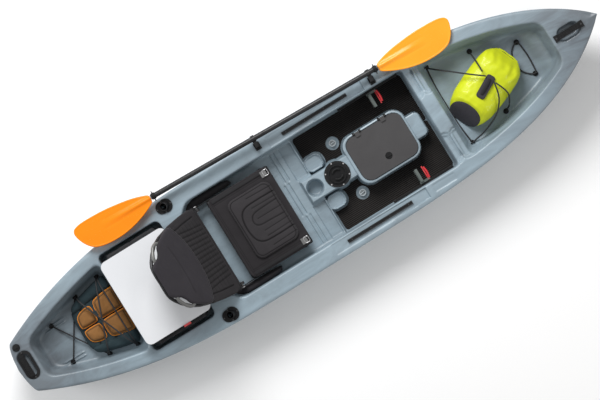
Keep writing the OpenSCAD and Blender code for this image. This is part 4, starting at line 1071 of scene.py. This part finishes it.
backPanel = padPiece("backrestPanel", backOutline, meshCloth, "backrest", back["panelTop"],
                     back["panelLow"], edge=13, place=backPlace, seams=backSeams, puff=6, crease=1.6,
                     seed=21, shape=lumbar, rows=150, cols=130)
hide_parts("backrest_pad")
headCurve = [(-266, 228), (-240, 172), (-222, 110), (-214, 50), (-212, 0)]
headSeam = curvePoints(headCurve + [(u, -v) for u, v in headCurve[-2::-1]], 5)
headHalf = [(-519, 70), (-515, 88), (-500, 102), (-478, 112), (-452, 122), (-434, 142), (-420, 170),
            (-398, 190), (-360, 206), (-320, 224), (-290, 232), (-266, 228)]
headOutline = headHalf + [tuple(p) for p in headSeam[1:-1]] + [(u, -v) for u, v in headHalf[::-1]]
headSeams = [(curvePoints([(p[0] - 12, p[1] * 0.985) for p in headSeam[::5]], 5), 2.0, 2.4),
             ([(-360, -140), (-352, -60), (-352, 60), (-360, 140)], 1.4, 5)]
padPiece("headrestPanel", headOutline, headCloth, "backrest", back["headTop"], back["headLow"], edge=16,
         place=backPlace, seams=headSeams, puff=7, crease=2.4, seed=27,
         rows=120, cols=120, creaseScale=120.0)
for side, label in sides:
    # the frame's corner shows through the sleeve
    loop = curvePoints([(-392, side * 186, 24), (-414, side * 190, 25), (-440, side * 178, 26),
                        (-462, side * 152, 26), (-474, side * 128, 25), (-476, side * 104, 24)], 8)
    tubePiece(f"backTube{label}", carried(backPlace, loop), back["tubeR"], backTube, "backrest",
              steps=16)
    strap = curvePoints([(-60, side * 244, 20), (-40, side * 246, 12), (-10, side * 240, 2)], 6)
    tubePiece(f"backStrap{label}", carried(backPlace, strap), back["strapHalf"], strapWeb, "backrest",
              flat=0.14)
print("backrest made")

# folded life vest in the stern well
vest = {"low": 176.0, "top": 222.0, "panelTop": 244.0, "panelLow": 212.0, "pipingZ": 228.0, "pipingR": 2.4}
vestHalf = [(-1456, 84), (-1448, 112), (-1420, 138), (-1360, 158), (-1300, 176), (-1240, 190), (-1206, 194),
            (-1192, 176), (-1189, 150)]
vestSeams = [(curvePoints([(-1300, -150), (-1292, 0), (-1300, 150)], 6), 7, 7),
             (curvePoints([(-1392, -120), (-1384, 0), (-1392, 120)], 6), 6, 6)]


def vestSag(u, v, d):
    return -10 * np.exp(-((v - 4) / 16) ** 2) + 5 * np.sin(v / 30.0)


vestOutline = mirrored(vestHalf)
vestBody = padPiece("vestBody", vestOutline, tealCloth, "boat", vest["top"], vest["low"], edge=34,
                    seams=vestSeams, puff=6, crease=6, seed=31, shape=vestSag,
                    rows=120, cols=100, creaseScale=150.0)
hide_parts("life_vest")
panels = [("vestPanelA", [(-1182, 14), (-1180, 106), (-1190, 128), (-1284, 118), (-1314, 98), (-1320, 24),
                          (-1302, 7), (-1190, 7)], 41),
          ("vestPanelB", [(-1182, -14), (-1184, -112), (-1196, -132), (-1288, -116), (-1318, -92),
                          (-1320, -24), (-1302, -8), (-1190, -8)], 43),
          ("vestPanelC", [(-1338, 20), (-1336, 84), (-1352, 102), (-1404, 92), (-1430, 70), (-1436, 22),
                          (-1420, 8), (-1352, 8)], 47),
          ("vestPanelD", [(-1338, -20), (-1338, -80), (-1356, -98), (-1404, -88), (-1428, -66),
                          (-1434, -22), (-1420, -8), (-1352, -8)], 49),]
for name, corners, seed in panels:
    outline = curvePoints(corners, 6, closed=True)
    mid = outline.mean(0)
    inner = [(mid[0] + (p[0] - mid[0]) * 0.84, mid[1] + (p[1] - mid[1]) * 0.84) for p in outline]
    padPiece(name, [tuple(p) for p in outline], tanCloth, "boat", vest["panelTop"], vest["panelLow"],
             edge=24, puff=8, crease=4, seed=seed, seams=[(inner + inner[:1], 3.0, 3.0)],
             rows=70, cols=70, creaseScale=90.0)
    trim = [(p[0], p[1], vest["pipingZ"]) for p in outline[::2]]
    tubePiece(name + "Piping", trim, vest["pipingR"], orangeTrim, "boat", steps=8, closed=True)
for side, label in sides:
    outline = curvePoints([(-1196, side * 128), (-1192, side * 190), (-1214, side * 206),
                           (-1320, side * 184), (-1420, side * 150), (-1440, side * 112),
                           (-1400, side * 104), (-1300, side * 120)], 6, closed=True)
    padPiece(f"vestSide{label}", [tuple(p) for p in outline], tealCloth, "boat", 232, 190, edge=24, puff=6,
             crease=6, seed=51 + side, rows=90, cols=50,
             creaseScale=80.0)
print("life vest made")

# dry bag in the bow well
bag = {"x": 1120.0, "y": -22.0, "z": 200.3, "turn": 22.0, "aft": -214.0, "fore": 222.0, "stand": 3.0,
       "rollR": 10, "stripHalf": 5, "patchTop": 384.5, "patchLow": 366.0, "gripHalf": 7.5}


def bagSections(rows=150, cols=128):
    # barrel-shaped: a slanted round end aft, a pinched and rolled mouth forward
    us = np.concatenate([[bag["aft"]], np.linspace(bag["aft"] + 3, bag["fore"], rows)])
    halfW = np.interp(us, [-214, -206, -184, -120, -20, 60, 130, 174, 204, 222],
                      [88, 98, 110, 125, 131, 131, 127, 117, 94, 70])
    high = np.interp(us, [-214, -206, -184, -120, -20, 60, 130, 172, 204, 222],
                     [142, 152, 162, 170, 172, 166, 146, 110, 66, 38])
    lift = np.interp(us, [-214, 90, 222], [0, 0, 26])
    slant = np.interp(us, [-214, -74], [88, 0])
    kernel = np.hanning(13) / np.hanning(13).sum()
    halfW, high = (np.convolve(np.pad(w, 6, mode="edge"), kernel, mode="valid") for w in (halfW, high))
    a = np.linspace(0, 2 * math.pi, cols, endpoint=False)
    power = 2.0 / (2.25 + 1.3 * smoothStep(120, 210, us))[:, None]
    v = np.sign(np.cos(a)) * np.abs(np.cos(a)) ** power * halfW[:, None]
    h = np.sign(np.sin(a)) * np.abs(np.sin(a)) ** power * high[:, None] * 0.5
    z = bag["z"] + bag["stand"] + lift[:, None] + high[:, None] * 0.5 + h
    z = np.maximum(z, bag["z"] + bag["stand"] + lift[:, None] * smoothStep(90, 222, us)[:, None])
    u = us[:, None] + slant[:, None] * np.clip((h / high[:, None] + 0.5), 0, 1) ** 1.2
    top = np.clip((z - bag["z"] - 40) / 60, 0, 1)
    z = z + top * (ripple(u, v, 61, 120.0) * 4.5 + ripple(u * 0.3, v, 63, 55.0) * 3.0)
    z = z + top * np.exp(-((u - 160) / 44) ** 2) * np.sin(v / 8.5 + np.sin(u / 18.0)) * 3.4
    z = z - top * 6 * np.exp(-((u + 8) / 34) ** 2)
    return np.stack([u, v, z], -1).reshape(-1, 3), ringFaces(len(us), cols), cols


bagPlace = turnedPlace((bag["x"], bag["y"], 0), bag["turn"])
bagVerts, bagFaces, bagCols = bagSections()
endRing = bagVerts[:bagCols].copy()
bagBody = newPiece("dryBagBody", [(bagPlace @ Vector(v)) * 0.001 for v in bagVerts], bagFaces, bagCloth,
                   "boat")
fixNormals(bagBody)
smoothBy(bagBody, 60)
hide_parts("dry_bag", "dry_bag_buckle")
# the round end panel is stood off its bag by its own thickness
endMid = endRing.mean(0)
outward = np.array([-0.86, 0.0, 0.50])
endVerts = []
endRings = ((-6, 1.0), (1.6, 1.0), (3.0, 0.97), (4.5, 0.7), (5.0, 0.35))  # push outward, share of the outline
for push, k in endRings:
    for point in endRing:
        spot = endMid + (point - endMid) * k + outward * push
        endVerts.append((bagPlace @ Vector(spot)) * 0.001)
bagEnd = newPiece("dryBagEnd", endVerts, ringFaces(len(endRings), bagCols), bagEndCloth, "boat")
fixNormals(bagEnd)
smoothBy(bagEnd, 50)
mouth = curvePoints([(220, -62, 248), (225, -28, 251), (224, 0, 249), (225, 28, 251), (220, 62, 248)], 8)
tubePiece("dryBagRoll", carried(bagPlace, mouth), bag["rollR"], bagCloth, "boat", steps=20)
strip = [(p[0] - 4, p[1], p[2] + 10) for p in mouth]
tubePiece("dryBagStrip", carried(bagPlace, strip), bag["stripHalf"], strapWeb, "boat", flat=0.5)
patchPlace = bagPlace @ turnedPlace((2, 1, 0), 7)
patch = roundedOutline(0, 0, 70, 26, 16)
patchSeam = roundedOutline(0, 0, 64, 20, 12)
padPiece("dryBagPatch", patch, bagEndCloth, "boat", bag["patchTop"], bag["patchLow"], edge=5,
         place=patchPlace, seams=[(patchSeam + patchSeam[:1], 1.4, 1.2)],
         rows=70, cols=50)
grip = curvePoints([(-50, 0, 381), (-42, 0, 389), (-16, 0, 393), (14, 0, 393), (40, 0, 389), (48, 0, 381)], 8)
tubePiece("dryBagGrip", carried(patchPlace, grip), bag["gripHalf"], strapWeb, "boat",
          flat=0.45)
print("dry bag made")

# paddle blades, placed on the shaft
paddle = {"x": -730.0, "y": 422.0, "z": 364.0, "yaw": -1.83, "shaft": 1410.0, "top": 2.4, "low": -2.0}
bladeEdge = [(3, -14), (14, -32), (82, -65), (150, -88), (225, -102), (300, -104), (360, -96), (405, -76),
             (440, -32), (458, 18), (455, 45), (436, 60), (390, 69), (300, 70), (220, 65), (110, 50),
             (30, 28), (4, 12)]


def bladeShape(u, v, d):
    spine = 9 * np.exp(-(v / 13) ** 2) * smoothStep(330, 60, u)
    rim = 1.2 * np.exp(-((d - 5) / 4) ** 2)
    groove = -0.8 * np.exp(-((np.abs(v) - 24) / 5) ** 2) * smoothStep(100, 180, u) * smoothStep(330, 260, u)
    return spine + rim + groove


bladeLine = curvePoints(bladeEdge, 6, closed=True)
shaftPlace = turnedPlace((paddle["x"], paddle["y"], paddle["z"]), paddle["yaw"])
for label, flip, startX, finish in (("Fore", 1, paddle["shaft"], bladeOrange),
                                    ("Aft", -1, 0.0, bladeOrangeShaded)):
    piece = padPiece(f"blade{label}", [(u * flip, v) for u, v in bladeLine], finish, "paddle",
                     paddle["top"], paddle["low"], edge=5,
                     place=shaftPlace @ Matrix.Translation((startX, 0, 0)), shape=lambda u, v, d,
                     flip=flip: bladeShape(u * flip, v, d), rows=140,
                     cols=100)
    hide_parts(f"paddle_blade_{label.lower()}")
print("blades made")

# ribbed mats
ribs = {"pitch": 0.010, "deep": 0.0022, "width": 0.22, "taper": 0.55, "past": 0.002}  # metres, shares


def ribbedMat(label):
    # grooves are cut along a copy of the CAD mat
    node = frame["nodes"][f"deck_mat_{label.lower()}"]
    low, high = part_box(node.name)
    mat = copyNode(node, f"matRibbed{label}")
    topZ = high[2]
    bm = bmesh.new()
    y0, y1 = low[1] - 0.004, high[1] + 0.004
    count = int((y1 - y0) / ribs["pitch"]) + 1
    w = ribs["pitch"] * ribs["width"]
    over, deep = topZ + ribs["past"], topZ - ribs["deep"]
    profile = [(-w, over), (-w * ribs["taper"], deep), (w * ribs["taper"], deep), (w, over)]
    for i in range(count):
        y = y0 + (i + 0.5) * ribs["pitch"]
        rings = []
        for x in (low[0] - 0.01, high[0] + 0.01):
            rings.append([bm.verts.new((x, y + p, z)) for p, z in profile])
        for j in range(4):
            k = (j + 1) % 4
            bm.faces.new((rings[0][j], rings[0][k], rings[1][k], rings[1][j]))
        bm.faces.new(rings[0][::-1])
        bm.faces.new(rings[1])
    bmesh.ops.recalc_face_normals(bm, faces=bm.faces)
    mesh = bpy.data.meshes.new("grooveCutters")
    bm.to_mesh(mesh)
    bm.free()
    cutter = bpy.data.objects.new("grooveCutters", mesh)
    bpy.context.scene.collection.objects.link(cutter)
    cut = mat.modifiers.new("grooves", "BOOLEAN")
    cut.operation = "DIFFERENCE"
    cut.object = cutter
    cut.solver = "EXACT"
    applyAll(mat)
    bpy.data.objects.remove(cutter)
    setMaterial(mat, matFoam)
    mat.data.shade_flat()
    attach(mat, "boat")
    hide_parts(node.name)
    print("mat", mat.name, len(mat.data.polygons), "faces")


ribbedMat("Port")
ribbedMat("Starboard")

# stretched cords, swollen copies of the CAD cords, in metres
cords = {"grow": 0.0012, "near": 0.000002}
for nodeName, pieceName in (("bow_bungee", "bowShockCord"), ("stern_bungee", "sternShockCord")):
    piece = copyNode(frame["nodes"][nodeName], pieceName, cords["near"])
    swell = piece.modifiers.new("swell", "DISPLACE")
    swell.strength = cords["grow"]
    swell.mid_level = 0.0
    applyAll(piece)
    setMaterial(piece, cordCloth)
    piece.data.shade_smooth()
    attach(piece, "boat")
    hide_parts(nodeName)
print("cords made")

# crate side pockets
pocket = {"x": -958.0, "halfL": 150.0, "low": 176.0, "high": 347.0, "y": 243.4, "thick": 39.0}
for side, label in sides:
    outline = roundedOutline(0, 0, pocket["halfL"], (pocket["high"] - pocket["low"]) / 2, 22)
    middle = (pocket["x"], side * pocket["y"], (pocket["high"] + pocket["low"]) / 2)
    place = turnedPlace(middle, -90 * side, "X")
    seams = [([(-146, -side * 52), (146, -side * 52)], 5, 4), ([(0, -80), (0, 80)], 4, 4)]
    piece = padPiece(f"pocket{label}", outline, pocketCloth, "boat", pocket["thick"] - 2, 0.4, edge=12,
                     place=place, seams=seams, crease=2.4, seed=71 + side,
                     rows=80, cols=60)
    if side > 0:
        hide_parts("crate_side_pockets")
print("pockets made")

# small fittings
fittings = {"gripR": 28, "gripUp": 3.0, "rimR": 48, "hubR": 17, "discR": 14, "barR": 3.0,
            "buckleY": 214, "buckleZ": 281.5, "wireR": 2.2, "finR": 6.5}
# two curved grips stand on the round lid
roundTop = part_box("round_hatch_lid")[1][2] * 1000
for name, side in (("roundGripPort", 1), ("roundGripStarboard", -1)):
    arc = [(hull["roundX"] + fittings["gripR"] * math.sin(math.radians(a)) * side,
            fittings["gripR"] * math.cos(math.radians(a)) * side,
            roundTop + fittings["gripUp"] - 3.5 * (abs(a) > 44)) for a in range(-52, 53, 8)]
    tubePiece(name, arc, 5.0, blackRubber, "round_lid", flat=0.8)
tubePiece("roundLidRim", circlePoints(hull["roundX"], 0, roundTop, fittings["rimR"], 64), 2.6, blackRubber,
          "round_lid", closed=True)
# hubs and pull bars on the scupper plugs
for side, label in sides[::-1]:
    plug = f"scupper_plug_{label.lower()}"
    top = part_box(plug)[1][2] * 1000
    x, y = scupper[0], side * scupper[1]
    hub = circlePoints(x, y, top + 0.5, fittings["hubR"], 40)
    tubePiece(f"plugHub{label}", hub, 3.4, plugGrey, plug, closed=True)
    disc = [(x, y, top - 2), (x, y, top + 1.2)]
    tubePiece(f"plugDisc{label}", disc, fittings["discR"], trimGrey, plug, steps=32)
    bar = [(x - 13, y - 2, top), (x - 8, y - 1, top + 5), (x + 8, y + 1, top + 5), (x + 13, y + 2, top)]
    tubePiece(f"plugBar{label}", curvePoints(bar, 6), fittings["barR"], plugGrey, plug)
# wire buckles at the seat's front corners, and fins on the pedal triggers
for side, label in sides[::-1]:
    ring = [(x, y, fittings["buckleZ"]) for x, y in roundedOutline(-134, side * fittings["buckleY"], 14, 17,
            6)[::2]]
    tubePiece(f"seatBuckle{label}", ring, fittings["wireR"], steel, "boat", steps=10, closed=True)
    low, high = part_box(f"pedal_trigger_{label.lower()}")
    x, z = high[0] * 1000, high[2] * 1000
    y0, y1 = low[1] * 1000, high[1] * 1000
    fin = curvePoints([(x + 3, y0 + 8, z - 10), (x + 7, (y0 + y1) / 2, z - 8), (x + 3, y1 - 8, z - 10)], 8)
    tubePiece(f"triggerFin{label}", fin, fittings["finR"], redPlastic, f"trigger_{label.lower()}",
              flat=1.6)
print("fittings made")

# materials of the CAD nodes
paint(trackMetal, "gear_track_port", "gear_track_starboard")
paint(darkScrew, "track_screws")
paint(steel, "round_hatch_screws", "seat_hinge_bolts")
paint(darkScrew, "foot_rail_screws", "hatch_hinge_pins", "rod_holder_screws", "handle_screws",
      "ferrule_button", "crate_hinge_pins")
paint(blackPlastic, "foot_rail_port", "foot_rail_starboard", "hatch_hinge_base", "hatch_latch_knob",
      "round_hatch_ring", "round_hatch_lid", "rod_holder_port", "rod_holder_starboard", "bow_handle",
      "stern_handle", "bow_pad_eyes", "stern_pad_eyes", "paddle_cradles", "crate_box", "crate_latch_base",
      "dry_bag_buckle", "drain_seat", "seat_hinge_brackets")
paint(greyPlastic, "foot_pedal_port", "foot_pedal_starboard")
paint(clipPlastic, "seat_clips")
paint(redPlastic, "pedal_trigger_port", "pedal_trigger_starboard", "crate_latch")
paint(lidGrey, "hatch_lid")
paint(blackRubber, "hatch_gasket", "drain_plug", "drip_ring_fore", "drip_ring_aft", "seat_feet")
paint(plugGrey, "scupper_plug_port", "scupper_plug_starboard")
paint(cordCloth, "bow_bungee", "stern_bungee")
paint(shaftFibre, "paddle_shaft_fore", "paddle_shaft_aft")
paint(bladeOrange, "paddle_blade_fore")
paint(bladeOrangeShaded, "paddle_blade_aft")
paint(seatTube, "seat_frame", "backrest_frame")
paint(whitePlastic, "crate_lid")
paint(matFoam, "deck_mat_port", "deck_mat_starboard")
paint(seatCloth, "seat_pan", "backrest_pad")
paint(pocketCloth, "crate_side_pockets")
paint(bagCloth, "dry_bag")
paint(tanCloth, "life_vest")
for node in frame["nodes"].values():
    if not node.hide_render:
        smoothBy(node, 35)
print("CAD nodes painted")

bpy.ops.mesh.primitive_plane_add(size=floorSettings["size"], location=(0, 0, -floorSettings["drop"]))
floor = bpy.context.active_object
floor.name = "studioFloor"
floorMaterial, _, floorShader, _ = blankMaterial("studioFloorPaint")
floorShader.inputs["Base Color"].default_value = (*floorSettings["colour"], 1)
floorShader.inputs["Roughness"].default_value = floorSettings["rough"]
floor.data.materials.append(floorMaterial)
